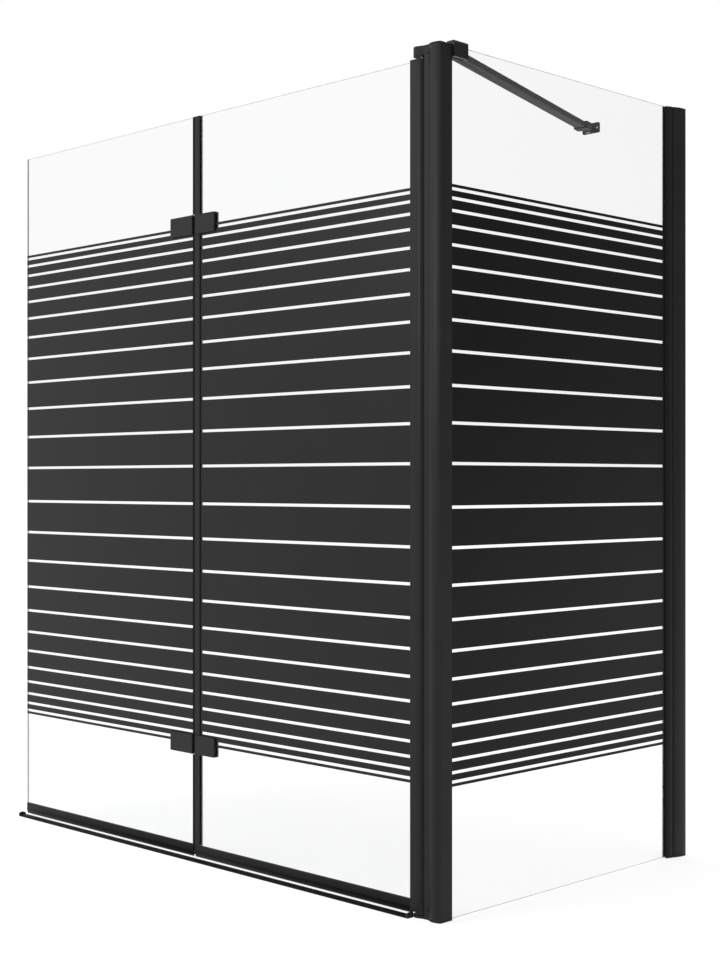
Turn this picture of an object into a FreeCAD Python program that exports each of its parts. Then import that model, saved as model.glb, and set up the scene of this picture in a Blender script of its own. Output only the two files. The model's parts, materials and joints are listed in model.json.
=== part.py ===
import FreeCAD, Part
import os
import re
import Sketcher

# Bath screen for a corner: a two-panel folding front on a corner post, a fixed side glass
# between the post and the wall, and a stabiliser bar to the wall.
# Millimetres. The origin is the middle of the post's foot on the bath rim, the folding front
# runs along -X, the side glass runs along +Y into the room's wall, and +Z is up.

V = FreeCAD.Vector
doc = FreeCAD.newDocument("BathScreen")
sheet = doc.addObject("Spreadsheet::Sheet", "Sizes")

SIZES = {
    # whole screen
    "screen_height": "1400",
    "wall_reach": "671",
    "inner_panel_length": "574",
    "outer_panel_length": "556",
    "overrun": "1",
    "fit": "0.05",
    "clearance": "0.3",
    # glass
    "glass_thickness": "6",
    "side_glass_inset": "6",
    "side_glass_lift": "1.5",
    # printed stripes
    "print_thickness": "0.3",
    "print_low_inset": "1",
    "print_high_inset": "2.5",
    "clear_line": "5",
    "print_edge_line": "5",
    # corner post
    "post_width": "37",
    "post_depth": "27.5",
    "post_wall": "2",
    "post_front_radius": "22.5",
    "post_land": "10",
    "post_setback": "1.2",
    "post_glass_bite": "12",
    "screw_port_radius": "1.9",
    "screw_port_wall": "1.6",
    "foot_thickness": "4",
    "cap_thickness": "3",
    "spigot_depth": "14",
    "spigot_wall": "2",
    "cap_screw_radius": "2",
    "cap_screw_length": "5.5",
    "cap_screw_height": "15",
    "cap_screw_inset": "2.6",
    "seal_groove_width": "5",
    "seal_groove_depth": "1.2",
    "seal_lip_width": "2",
    # pivot arms on the post
    "arm_height": "14.5",
    "arm_radius": "15",
    "pivot_gap": "1",
    "head_gap": "4.5",
    # turning profile
    "profile_radius": "12",
    "profile_reach": "18",
    "profile_corner": "2",
    "profile_bore": "6.5",
    "profile_bite": "9",
    "plug_flange": "3",
    "plug_length": "32",
    "pin_radius": "4",
    "pin_length": "34",
    "washer_height": "4",
    "washer_radius": "9",
    # gaskets
    "gasket": "1",
    "gasket_lip": "1.5",
    # folding glasses and what they carry
    "glass_lift": "10",
    "fold_gap": "3",
    "fold_offset": "9",
    "seam_cover": "15",
    "seam_web": "2.5",
    "seam_leaf": "1.8",
    "seam_bite": "11.5",
    "seam_lip": "1.4",
    "seam_lip_width": "4",
    "seal_height": "14",
    "seal_wall": "1.6",
    "seal_lip_drop": "6",
    "seal_lip_thickness": "1.2",
    "seal_end_gap": "1",
    # glass to glass hinges
    "hinge_lower_rise": "201.5",
    "hinge_upper_drop": "201",
    "hinge_height": "36",
    "hinge_plate": "3.3",
    "hinge_pad": "0.8",
    "hinge_corner": "1.5",
    "hinge_chamfer": "0.8",
    "inner_plate_length": "55",
    "inner_plate_gap": "5.4",
    "outer_plate_length": "67",
    "knuckle_radius": "5",
    "knuckle_share": "0.4",
    "hinge_pin_radius": "2.5",
    "hinge_pin_head": "1",
    "hinge_pin_head_radius": "4",
    "hinge_rib_radius": "1.6",
    "hinge_screw_radius": "3",
    "hinge_screw_head_radius": "5",
    "hinge_screw_head": "1.6",
    "hinge_screw_spacing": "28",
    "hinge_screw_margin": "12",
    "hinge_screw_skin": "1",
    "sleeve_wall": "2",
    # wall side
    "wall_profile_depth": "31",
    "wall_profile_half_mouth": "12",
    "wall_profile_half_back": "18",
    "wall_profile_wall": "2",
    "wall_profile_flare_radius": "60",
    "nose_depth": "16",
    "nose_half_tip": "5",
    "nose_half_root": "11",
    "nose_radius": "22",
    "tongue_depth": "20",
    "tongue_half": "8.6",
    "adapter_bite": "13",
    "wall_screw_radius": "2.5",
    "wall_screw_margin": "120",
    "wall_screw_count": "3",
    "adapter_screw_radius": "1.9",
    "adapter_screw_head_radius": "3.6",
    "adapter_screw_head": "1.8",
    "adapter_screw_margin": "90",
    "wall_cap_screw_radius": "1.6",
    "wall_cap_screw_length": "5",
    "wall_cap_screw_height": "10",
    "wall_spigot_width": "10",
    "wall_spigot_thickness": "3.5",
    "wall_spigot_gap": "0.8",
    # threshold rail
    "rail_offset": "7",
    "rail_inset": "6",
    "rail_width": "14",
    "rail_standoff": "1.9",
    "rail_crown_radius": "14",
    "rail_side_height": "3",
    "rail_cap_length": "5",
    "rail_cap_height": "8",
    "rail_cap_round": "1.5",
    "rail_groove_width": "6",
    "rail_groove_depth": "1.2",
    # stabiliser
    "clamp_start": "14.25",
    "clamp_length": "34",
    "clamp_drop": "19.7",
    "clamp_rise": "6.7",
    "clamp_outer_wall": "6.2",
    "clamp_inner_wall": "2.1",
    "clamp_bevel": "2",
    "clamp_ear": "3",
    "grub_radius": "2.5",
    "grub_spacing": "18",
    "bar_width": "21",
    "bar_thickness": "10.4",
    "bar_drop": "11",
    "bar_side_step": "185.8",
    "bar_pin_radius": "3",
    "bar_pin_head": "1.2",
    "bar_pin_head_radius": "4.5",
    "bar_pivot_clear": "0.4",
    "socket_length": "24",
    "socket_width": "28",
    "socket_skin": "1.9",
    "socket_seat": "18",
    "socket_setback": "18.6",
    "socket_corner": "1",
    "eye_radius": "7",
    "eye_height": "8",
    "bracket_width": "40",
    "bracket_thickness": "4",
    "bracket_standoff": "12",
    "bracket_rise": "7",
    "bracket_drop": "13",
    "bracket_ear": "2.6",
    "bracket_hole_radius": "2.2",
    "bracket_hole_spacing": "29",
    "bracket_corner": "2",
}

# Lengths and places that follow from the sizes above, as the sheet's own sums
DERIVED = {
    "post_right": "post_width / 2",
    "post_left": "-post_width / 2",
    "post_front": "-post_depth / 2",
    "post_back": "post_depth / 2",
    "glass_half": "glass_thickness / 2",
    "slot_half": "glass_half + gasket",
    # side glass
    "side_line": "post_right - side_glass_inset",
    "post_slot_depth": "post_glass_bite + gasket",
    "side_glass_start": "post_back - post_glass_bite",
    "wall_line": "post_front + wall_reach",
    "nose_start": "wall_line - wall_profile_depth - nose_depth",
    "side_glass_end": "nose_start + adapter_bite",
    "side_glass_length": "side_glass_end - side_glass_start",
    "post_top": "screen_height - cap_thickness",
    # the post's hollow and its screw ports
    "chamber_left": "post_left + post_wall + seal_groove_depth",
    "chamber_right": "side_line - slot_half - post_wall",
    "chamber_front": "post_front + post_setback + post_wall",
    "chamber_back": "post_back - post_wall",
    "port_step": "screw_port_radius + screw_port_wall",
    # turning front
    "pivot_x": "post_left - pivot_gap - profile_radius",
    "pivot_y": "post_front + profile_radius",
    "profile_end": "pivot_x - profile_reach",
    "arm_bottom": "screen_height - arm_height",
    "panel_top": "arm_bottom - head_gap",
    "profile_bottom": "foot_thickness + washer_height",
    "profile_slot_depth": "profile_bite + gasket",
    "inner_glass_start": "profile_end + profile_bite",
    "seam_x": "pivot_x - inner_panel_length",
    "inner_glass_end": "seam_x + seam_cover - seam_bite",
    "seam_inside": "seam_x + seam_cover",
    "fold_x": "seam_x - fold_gap / 2",
    "fold_y": "pivot_y + fold_offset",
    "outer_glass_start": "seam_x - fold_gap",
    "outer_glass_end": "outer_glass_start - outer_panel_length",
    # hinges, measured from the pin
    "hinge_low": "glass_lift + hinge_lower_rise",
    "hinge_high": "panel_top - hinge_upper_drop",
    "glass_inner_face": "glass_half - fold_offset",
    "glass_outer_face": "-glass_half - fold_offset",
    "inner_plate_start": "inner_plate_gap",
    "outer_plate_start": "fold_gap / 2",
    "knuckle_height": "hinge_height * knuckle_share",
    "outer_knuckle_height": "(hinge_height - knuckle_height) / 2 - clearance",
    "inner_screw_far": "inner_plate_start + inner_plate_length - hinge_screw_margin",
    "inner_screw_near": "inner_screw_far - hinge_screw_spacing",
    "outer_screw_near": "outer_plate_start + (outer_plate_length - hinge_screw_spacing) / 2",
    "outer_screw_far": "outer_screw_near + hinge_screw_spacing",
    "sleeve_radius": "hinge_screw_radius + sleeve_wall",
    # printed stripes, which end a little past the hinges
    "print_bottom": "hinge_low + print_low_inset",
    "print_top": "hinge_high - print_high_inset",
    "print_middle": "(print_bottom + print_top) / 2",
    "print_half_reach": "(print_top - print_bottom - clear_line) / 2 - print_edge_line",
    # wall side
    "mouth_y": "wall_line - wall_profile_depth",
    "tongue_end": "mouth_y + tongue_depth",
    "adapter_slot_depth": "adapter_bite + gasket",
    "flank_step": "wall_profile_half_back - wall_profile_half_mouth",
    "flank_chord": "sqrt(wall_profile_depth * wall_profile_depth + flank_step * flank_step)",
    "flank_rise": "wall_profile_flare_radius - sqrt(wall_profile_flare_radius"
                  " * wall_profile_flare_radius - flank_chord * flank_chord / 4)",
    "flank_middle": "side_line + (wall_profile_half_mouth + wall_profile_half_back) / 2 + flank_rise",
    "flank_y": "mouth_y + wall_profile_depth / 2",
    # threshold rail
    "rail_back": "post_front - rail_standoff",
    "rail_front": "rail_back - rail_width",
    "rail_start": "pivot_x - rail_offset",
    "rail_end": "outer_glass_end + rail_inset",
    # stabiliser
    "bar_top": "screen_height - bar_drop + bar_thickness",
    "bar_bottom": "screen_height - bar_drop",
    "clamp_inner_face": "side_line - glass_half - gasket - clamp_inner_wall",
    "clamp_outer_face": "side_line + glass_half + gasket + clamp_outer_wall",
    "clamp_top": "screen_height + clamp_rise",
    "clamp_bottom": "screen_height - clamp_drop",
    "bar_pivot_x": "clamp_inner_face - bar_pivot_clear - bar_width / 2",
    "bar_pivot_y": "clamp_start + clamp_length / 2",
    "bar_length": "sqrt(bar_run * bar_run + bar_side_step * bar_side_step)",
    "bar_turn": "atan(bar_side_step / bar_run)",
    "bracket_x": "bar_pivot_x - bar_side_step",
    "bracket_y": "wall_line - bracket_standoff",
    "bar_run": "bracket_y - bar_pivot_y",
    "socket_back": "bar_length - socket_setback",
    "socket_mouth": "socket_back - socket_length",
    "eye_bottom": "bar_bottom + (bar_thickness - eye_height) / 2",
    "upper_ear": "eye_bottom + eye_height + clearance",
    "lower_ear": "eye_bottom - clearance - bracket_ear",
}
WORD = re.compile(r"[a-z][a-z_0-9]*")


def bound(text):
    """The text with every size's name replaced by its place in the sheet."""
    def place(match):
        word = match.group()
        if word in SIZES:
            return "Sizes." + word
        if word in DERIVED:
            return "(" + bound(DERIVED[word]) + ")"
        return word
    return WORD.sub(place, text)


def value(text):
    return float(sheet.evalExpression(bound(text)))


for row, (name, number) in enumerate(SIZES.items(), start=1):
    cell = "A%d" % row
    sheet.set(cell, number)
    sheet.setAlias(cell, name)
doc.recompute()


# Helpers: bodies, sketches and features bound to the sheet

def new_body(label):
    body = doc.addObject("PartDesign::Body", label)
    body.Label = label
    return body


def group(label, items):
    """Several like pieces kept as one sub-part."""
    whole = doc.addObject("Part::Compound", label)
    whole.Label = label
    whole.Links = items
    return whole


def place_at(item, x="0", y="0", z="0", turn=None):
    """Puts a sub-part at a bound place, turned about the vertical where that is given."""
    for axis, text in zip("xyz", (x, y, z)):
        item.setExpression("Placement.Base." + axis, bound(text))
    if turn:
        item.Placement.Rotation = FreeCAD.Rotation(V(0, 0, 1), 1)
        item.setExpression("Placement.Rotation.Angle", bound(turn))
    return item


def new_sketch(body, role, offset="0"):
    """A sketch on one of the body's own origin planes, moved along the plane's normal."""
    sketch = body.newObject("Sketcher::SketchObject", body.Name + "_sketch")
    plane = [item for item in body.Origin.OriginFeatures if item.Role == role + "_Plane"][0]
    sketch.AttachmentSupport = [(plane, "")]
    sketch.MapMode = "FlatFace"
    sketch.setExpression("AttachmentOffset.Base.z", bound(offset))
    return sketch


def constrain(sketch, kind, text, *where):
    index = sketch.addConstraint(Sketcher.Constraint(kind, *where, value(text)))
    sketch.setExpression("Constraints[%d]" % index, bound(text))


def add_outline(sketch, points, arcs=None):
    """A closed outline through bound points. arcs maps a point's index to the arc that leaves
    it: (radius, side) with side 1 or -1 as the arc bulges right or left of the way round, or
    ("x", text) or ("y", text) for a half round whose centre has that coordinate."""
    arcs = arcs or {}
    first = len(sketch.Geometry)
    corners = [V(value(x), value(y), 0) for x, y in points]
    count = len(corners)
    for index, start in enumerate(corners):
        end = corners[(index + 1) % count]
        if index not in arcs:
            sketch.addGeometry(Part.LineSegment(start, end), False)
            continue
        along = end - start
        right = V(along.y, -along.x, 0).normalize()
        half = along.Length / 2
        if arcs[index][0] in ("x", "y"):
            bulge = half
        else:
            radius, side = value(arcs[index][0]), arcs[index][1]
            bulge = side * (radius - (radius * radius - half * half) ** 0.5)
        ends = (start, end) if bulge > 0 else (end, start)
        sketch.addGeometry(Part.Arc(ends[0], (start + end) / 2 + right * bulge, ends[1]), False)

    def end_of(index, corner):
        geometry = sketch.Geometry[first + index]
        return 1 if (geometry.StartPoint - corner).Length < (geometry.EndPoint - corner).Length else 2

    for index in range(count):
        after = (index + 1) % count
        corner = corners[after]
        sketch.addConstraint(Sketcher.Constraint(
            "Coincident", first + index, end_of(index, corner), first + after, end_of(after, corner)))
    for index, (x, y) in enumerate(points):
        which = end_of(index, corners[index])
        constrain(sketch, "DistanceX", x, -1, 1, first + index, which)
        constrain(sketch, "DistanceY", y, -1, 1, first + index, which)
    for index, (what, detail) in arcs.items():
        if what == "x":
            constrain(sketch, "DistanceX", detail, -1, 1, first + index, 3)
        elif what == "y":
            constrain(sketch, "DistanceY", detail, -1, 1, first + index, 3)
        else:
            constrain(sketch, "Radius", what, first + index)


def add_box(sketch, left, right, low, high):
    add_outline(sketch, [(left, low), (right, low), (right, high), (left, high)])


def add_circle(sketch, x, y, radius):
    index = len(sketch.Geometry)
    sketch.addGeometry(Part.Circle(V(value(x), value(y), 0), V(0, 0, 1), value(radius)), False)
    constrain(sketch, "DistanceX", x, -1, 1, index, 3)
    constrain(sketch, "DistanceY", y, -1, 1, index, 3)
    constrain(sketch, "Radius", radius, index)


def add_polygon(sketch, x, y, radius, sides):
    """A regular polygon on the circle of the radius, for small round shapes that repeat."""
    turns = [(index + 0.5) * 360 / sides for index in range(sides)]
    add_outline(sketch, [
        ("%s + (%s) * cos(%s)" % (x, radius, turn), "%s + (%s) * sin(%s)" % (y, radius, turn))
        for turn in turns
    ])


SHANK_SIDES = 6
HEAD_SIDES = 12


def pad(body, sketch, length, back=False):
    feature = body.newObject("PartDesign::Pad", body.Name + "_pad")
    feature.Profile = sketch
    feature.setExpression("Length", bound(length))
    feature.Reversed = back
    doc.recompute()
    return feature


def pocket(body, sketch, length, back=False):
    """Cuts the sketch into the body and makes sure that it took something away."""
    before = body.Shape.Volume
    feature = body.newObject("PartDesign::Pocket", body.Name + "_pocket")
    feature.Profile = sketch
    feature.setExpression("Length", bound(length))
    feature.Reversed = back
    doc.recompute()
    if not body.Shape.Volume < before:
        raise RuntimeError(body.Label + ": a pocket cuts nothing")
    return feature


def edges_where(shape, test):
    return ["Edge%d" % number for number, edge in enumerate(shape.Edges, start=1) if test(edge)]


def runs_along(axis):
    """A test for straight edges that run along an axis, 0 for X, 1 for Y and 2 for Z."""
    def test(edge):
        if not isinstance(edge.Curve, Part.Line):
            return False
        way = edge.tangentAt(edge.FirstParameter)
        return abs(abs(way[axis]) - 1) < 1e-6
    return test


def soften(body, kind, size, test):
    """Fillets or chamfers the edges of the body's last feature that pass the test."""
    base = body.Tip
    names = edges_where(base.Shape, test)
    if not names:
        raise RuntimeError(body.Label + ": no edge to soften")
    feature = body.newObject("PartDesign::" + kind, body.Name + "_" + kind.lower())
    feature.Base = (base, names)
    feature.setExpression("Radius" if kind == "Fillet" else "Size", bound(size))
    doc.recompute()
    return feature


def near(point, x=None, y=None, z=None):
    """True where the point has the given coordinates, within a small share of a millimetre."""
    wanted = zip((point.x, point.y, point.z), (x, y, z))
    return all(text is None or abs(got - value(text)) < value("fit") for got, text in wanted)


def middle(edge):
    return edge.valueAt((edge.FirstParameter + edge.LastParameter) / 2)


def prism(label, role, outline, length, offset="0", back=False):
    """A body padded from one sketch that the function outline draws."""
    body = new_body(label)
    sketch = new_sketch(body, role, offset)
    outline(sketch)
    pad(body, sketch, length, back)
    return body


parts = []


def keep(item, x="0", y="0", z="0", turn=None):
    place_at(item, x, y, z, turn)
    parts.append(item)
    return item


# Corner post and its caps

def post_outline(sketch):
    """Square on the side facet and the back, gently crowned in front, slotted for the glass."""
    slot_left = "side_line - slot_half"
    slot_right = "side_line + slot_half"
    slot_floor = "post_back - post_slot_depth"
    add_outline(sketch, [
        ("post_right", "post_front"),
        ("post_right", "post_back"),
        (slot_right, "post_back"),
        (slot_right, slot_floor),
        (slot_left, slot_floor),
        (slot_left, "post_back"),
        ("post_left", "post_back"),
        ("post_left", "post_front + post_setback"),
        ("post_left + post_land", "post_front + post_setback"),
    ], {8: ("post_front_radius", 1)})


def post_chamber(sketch, gap="0"):
    add_box(sketch, "chamber_left + " + gap, "chamber_right - " + gap,
            "chamber_front + " + gap, "chamber_back - " + gap)


SCREW_PORTS = [
    ("chamber_left + port_step", "chamber_back - port_step"),
    ("chamber_right - port_step", "chamber_front + port_step"),
]
CAP_SCREW_X = "post_left + post_land - cap_screw_inset"
CAP_SCREW_HEIGHTS = ("cap_screw_height", "post_top + foot_thickness - cap_screw_height")


def cap_screw_holes(body, radius):
    """Holes along Y through whatever lies behind the screws in the post's front."""
    holes = new_sketch(body, "XZ", "-post_front")
    for height in CAP_SCREW_HEIGHTS:
        add_polygon(holes, CAP_SCREW_X, height, radius, HEAD_SIDES)
    pocket(body, holes, "cap_screw_length + post_setback")


def corner_post():
    body = prism("corner_post", "XY", post_outline, "post_top - foot_thickness", "foot_thickness")
    chamber = new_sketch(body, "XY", "foot_thickness")
    post_chamber(chamber)
    add_box(chamber, "chamber_right + post_wall", "post_right - post_wall",
            "chamber_front", "post_back - post_slot_depth - post_wall")
    pocket(body, chamber, "post_top - foot_thickness", back=True)
    ports = new_sketch(body, "XY", "foot_thickness")
    for x, y in SCREW_PORTS:
        add_polygon(ports, x, y, "port_step + clearance", HEAD_SIDES)
        add_polygon(ports, x, y, "screw_port_radius", HEAD_SIDES)
    pad(body, ports, "post_top - foot_thickness")
    groove = new_sketch(body, "XY", "foot_thickness")
    add_box(groove, "post_left - overrun", "post_left + seal_groove_depth",
            "pivot_y - seal_groove_width / 2", "pivot_y + seal_groove_width / 2")
    pocket(body, groove, "post_top - foot_thickness", back=True)
    cap_screw_holes(body, "cap_screw_radius + fit")
    return body


def arm_outline(sketch):
    """The arm that reaches from the post over or under the turning profile."""
    add_outline(sketch, [
        ("post_left + post_land", "post_front + post_setback"),
        ("post_left + post_land", "pivot_y + arm_radius"),
        ("pivot_x", "pivot_y + arm_radius"),
        ("pivot_x", "pivot_y - arm_radius"),
        ("post_left - pivot_gap", "post_front + post_setback"),
    ], {2: ("x", "pivot_x")})


def post_cap(label, plate_bottom, plate_thickness, arm_low, arm_thickness, seat, upwards):
    """A moulded cap: a plate on the post's end, a hollow spigot in its chamber and the arm.
    The spigot starts at the seat, where the cap meets the post."""
    body = new_body(label)
    plate = new_sketch(body, "XY", plate_bottom)
    post_outline(plate)
    pad(body, plate, plate_thickness)
    arm = new_sketch(body, "XY", arm_low)
    arm_outline(arm)
    pad(body, arm, arm_thickness)
    if not upwards:
        room = new_sketch(body, "XY", arm_low)
        add_box(room, "post_left - fit", "post_left + post_land + overrun",
                "post_front - overrun", "pivot_y + arm_radius + overrun")
        pocket(body, room, arm_thickness + " - " + plate_thickness, back=True)
    spigot = new_sketch(body, "XY", seat)
    post_chamber(spigot, "clearance")
    pad(body, spigot, "spigot_depth", back=not upwards)
    hollow = new_sketch(body, "XY", seat)
    post_chamber(hollow, "(clearance + spigot_wall)")
    pocket(body, hollow, "spigot_depth", back=upwards)
    relief = new_sketch(body, "XY", seat)
    for x, y in SCREW_PORTS:
        reach = "(port_step + 2 * clearance)"
        add_box(relief, x + " - " + reach, x + " + " + reach, y + " - " + reach, y + " + " + reach)
    pocket(body, relief, "spigot_depth", back=upwards)
    bore = new_sketch(body, "XY", arm_low)
    add_circle(bore, "pivot_x", "pivot_y", "pin_radius + fit")
    pocket(body, bore, arm_thickness if upwards else "arm_height - cap_thickness", back=True)
    cap_screw_holes(body, "cap_screw_radius + fit")
    return body


def seal_strip():
    """Soft strip in the post's groove that the turning profile runs past."""
    def outline(sketch):
        add_box(sketch, "post_left + fit", "post_left + seal_groove_depth - fit",
                "pivot_y - seal_groove_width / 2 + fit", "pivot_y + seal_groove_width / 2 - fit")
    body = prism("post_seal", "XY", outline, "post_top - foot_thickness - clearance", "foot_thickness")
    lip = new_sketch(body, "XY", "foot_thickness")
    add_outline(lip, [
        ("post_left + fit", "pivot_y - seal_lip_width / 2"),
        ("post_left + fit", "pivot_y + seal_lip_width / 2"),
        ("post_left - pivot_gap / 2", "pivot_y"),
    ])
    pad(body, lip, "arm_bottom - foot_thickness - clearance")
    return body


def cap_screws():
    """The screws that hold the two caps' spigots, one at each end of the post."""
    body = new_body("post_cap_screws")
    sketch = new_sketch(body, "XZ", "-post_front - post_setback")
    for height in CAP_SCREW_HEIGHTS:
        add_polygon(sketch, CAP_SCREW_X, height, "cap_screw_radius", HEAD_SIDES)
    pad(body, sketch, "cap_screw_length", back=True)
    return body


# Side glass, its print and the wall side

def side_glass():
    """Plate glass between the post and the wall side."""
    def outline(sketch):
        add_box(sketch, "side_line - glass_half", "side_line + glass_half",
                "side_glass_start", "side_glass_end")
    return prism("side_glass", "XY", outline, "screen_height - side_glass_lift", "side_glass_lift")


# Distances from the middle to the first clear line and on from line to line
LINE_SHARES = (35, 65, 60, 55, 50, 45, 40, 35, 30, 25, 20, 15)


def stripe_height(step, way):
    """Height of the clear line that is a number of steps from the middle, upwards for way 1."""
    share = "%d / %d" % (sum(LINE_SHARES[:step + 1]), sum(LINE_SHARES))
    return "print_middle %s print_half_reach * %s" % ("+" if way > 0 else "-", share)


def band_edges():
    """Bottom and top of every black band, from the lowest up, clear lines between them."""
    steps = range(len(LINE_SHARES))
    heights = [stripe_height(step, -1) for step in reversed(steps)]
    heights += [stripe_height(step, 1) for step in steps]
    half = "clear_line / 2"
    edges = [("%s - %s - print_edge_line" % (heights[0], half), "%s - %s" % (heights[0], half))]
    edges += [("%s + %s" % (low, half), "%s - %s" % (high, half)) for low, high in zip(heights, heights[1:])]
    edges.append(("%s + %s" % (heights[-1], half), "%s + %s + print_edge_line" % (heights[-1], half)))
    return edges


def bound_box(name, place, size):
    """A box primitive with its corner and its size along X, Y and Z bound to the sheet."""
    box = doc.addObject("Part::Box", name)
    for what, text in zip(("Length", "Width", "Height"), size):
        box.setExpression(what, bound(text))
    return place_at(box, *place)


def glass_print(label, corner, length_x, length_y, holes=()):
    """Thin black bands on a glass face, from its lowest corner, with windows for the hinges."""
    bands = []
    for low, high in band_edges():
        x, y = corner
        size = (length_x, length_y, "(%s) - (%s)" % (high, low))
        bands.append(bound_box(label + "_band", (x, y, low), size))
    if not holes:
        return group(label, bands)
    whole = group(label + "_bands", bands)
    reach = "(sleeve_radius + fit)"
    size = ("2 * " + reach, "print_thickness + 2 * overrun", "2 * " + reach)
    tool = group(label + "_windows", [
        bound_box(label + "_window", (x + " - " + reach, corner[1] + " - overrun", z + " - " + reach), size)
        for x, z in holes
    ])
    pierced = doc.addObject("Part::Cut", label)
    pierced.Label = label
    pierced.Base = whole
    pierced.Tool = tool
    return pierced


def side_glass_print():
    return glass_print("side_glass_print", ("side_line + glass_half", "side_glass_start"),
                       "print_thickness", "side_glass_length")


def channel_gasket(label, line, face, way, depth, low, high, lip):
    """A soft channel round the edge of a glass in its slot, with a lip that stands out of it.
    It is drawn as the slot's outline less the glass, opening towards way along Y."""
    sign = "+" if way > 0 else "-"
    body = new_body(label)
    sketch = new_sketch(body, "XY", low)
    half = "slot_half - fit"
    inner = "glass_half + print_thickness + fit"
    floor = "%s %s (%s)" % (face, "-" if way > 0 else "+", depth)
    floor_in = "%s %s (gasket - fit)" % (floor, sign)
    floor_out = "%s %s fit" % (floor, sign)
    end = "%s %s %s" % (face, sign, lip)
    add_outline(sketch, [
        ("%s - (%s)" % (line, half), floor_out),
        ("%s + (%s)" % (line, half), floor_out),
        ("%s + (%s)" % (line, half), end),
        ("%s + (%s)" % (line, inner), end),
        ("%s + (%s)" % (line, inner), floor_in),
        ("%s - (%s)" % (line, inner), floor_in),
        ("%s - (%s)" % (line, inner), end),
        ("%s - (%s)" % (line, half), end),
    ])
    pad(body, sketch, "%s - (%s)" % (high, low))
    return body


def wall_profile_outline(sketch):
    """A channel on the wall, straight on its inner flank and flared on its outer one."""
    floor = "wall_line - wall_profile_wall"
    add_outline(sketch, [
        ("side_line + wall_profile_half_mouth", "mouth_y"),
        ("side_line + wall_profile_half_back", "wall_line"),
        ("side_line - wall_profile_half_mouth", "wall_line"),
        ("side_line - wall_profile_half_mouth", "mouth_y"),
        ("side_line - wall_profile_half_mouth + wall_profile_wall", "mouth_y"),
        ("side_line - wall_profile_half_mouth + wall_profile_wall", floor),
        ("side_line + wall_profile_half_back - wall_profile_wall", floor),
        ("side_line + wall_profile_half_mouth - wall_profile_wall", "mouth_y"),
    ], {
        0: ("wall_profile_flare_radius", 1),
        6: ("wall_profile_flare_radius - wall_profile_wall", -1),
    })


WALL_CAP_SCREW_HEIGHTS = ("wall_cap_screw_height", "screen_height - wall_cap_screw_height")
ADAPTER_SCREW_Y = "mouth_y + tongue_depth / 2"
ADAPTER_SCREW_HEIGHTS = ("adapter_screw_margin", "screen_height / 2", "screen_height - adapter_screw_margin")


def side_screw_holes(body, start, y, heights, radius, length):
    """Holes along X from the plane at start, inwards to a length."""
    holes = new_sketch(body, "YZ", start)
    for height in heights:
        add_polygon(holes, y, height, radius, SHANK_SIDES)
    pocket(body, holes, length, back=True)


def wall_screw_height(index):
    return "wall_screw_margin + %d * (screen_height - 2 * wall_screw_margin) / (wall_screw_count - 1)" % index


def wall_profile():
    body = prism("wall_profile", "XY", wall_profile_outline, "post_top - cap_thickness", "cap_thickness")
    holes = new_sketch(body, "XZ", "-wall_line - overrun")
    for index in range(int(value("wall_screw_count"))):
        add_circle(holes, "side_line", wall_screw_height(index), "wall_screw_radius")
    pocket(body, holes, "wall_profile_wall + 2 * overrun", back=True)
    side_screw_holes(body, "side_line - wall_profile_half_mouth - overrun", ADAPTER_SCREW_Y,
                     ADAPTER_SCREW_HEIGHTS, "adapter_screw_radius + fit", "wall_profile_wall + 2 * overrun")
    side_screw_holes(body, "side_line + tongue_half", "flank_y", WALL_CAP_SCREW_HEIGHTS,
                     "wall_cap_screw_radius + fit", "wall_profile_half_back")
    return body


def adapter_outline(sketch):
    """Tapered nose on the glass and a tongue that slides into the wall profile."""
    slot_floor = "nose_start + adapter_slot_depth"
    add_outline(sketch, [
        ("side_line + nose_half_tip", "nose_start"),
        ("side_line + nose_half_root", "mouth_y - clearance"),
        ("side_line + tongue_half", "mouth_y - clearance"),
        ("side_line + tongue_half", "tongue_end"),
        ("side_line - tongue_half", "tongue_end"),
        ("side_line - tongue_half", "mouth_y - clearance"),
        ("side_line - nose_half_root", "mouth_y - clearance"),
        ("side_line - nose_half_tip", "nose_start"),
        ("side_line - slot_half", "nose_start"),
        ("side_line - slot_half", slot_floor),
        ("side_line + slot_half", slot_floor),
        ("side_line + slot_half", "nose_start"),
    ], {0: ("nose_radius", 1), 6: ("nose_radius", 1)})


def adapter_profile():
    body = prism("adapter_profile", "XY", adapter_outline, "post_top - cap_thickness", "cap_thickness")
    chamber = new_sketch(body, "XY", "cap_thickness")
    add_box(chamber, "side_line - tongue_half + post_wall", "side_line + tongue_half - post_wall",
            "nose_start + adapter_slot_depth + post_wall", "tongue_end - post_wall")
    pocket(body, chamber, "post_top - cap_thickness", back=True)
    side_screw_holes(body, "side_line - tongue_half - overrun", ADAPTER_SCREW_Y,
                     ADAPTER_SCREW_HEIGHTS, "adapter_screw_radius + fit", "post_wall + 2 * overrun")
    return body


def adapter_screws():
    """Pan head screws through the inner flank of the wall profile into the adapter's tongue."""
    body = new_body("adapter_screws")
    heads = new_sketch(body, "YZ", "side_line - wall_profile_half_mouth")
    shanks = new_sketch(body, "YZ", "side_line - wall_profile_half_mouth")
    for height in ADAPTER_SCREW_HEIGHTS:
        add_polygon(heads, ADAPTER_SCREW_Y, height, "adapter_screw_head_radius", HEAD_SIDES)
        add_polygon(shanks, ADAPTER_SCREW_Y, height, "adapter_screw_radius", SHANK_SIDES)
    pad(body, heads, "adapter_screw_head", back=True)
    pad(body, shanks, "wall_profile_half_mouth - tongue_half + post_wall")
    return body


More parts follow.
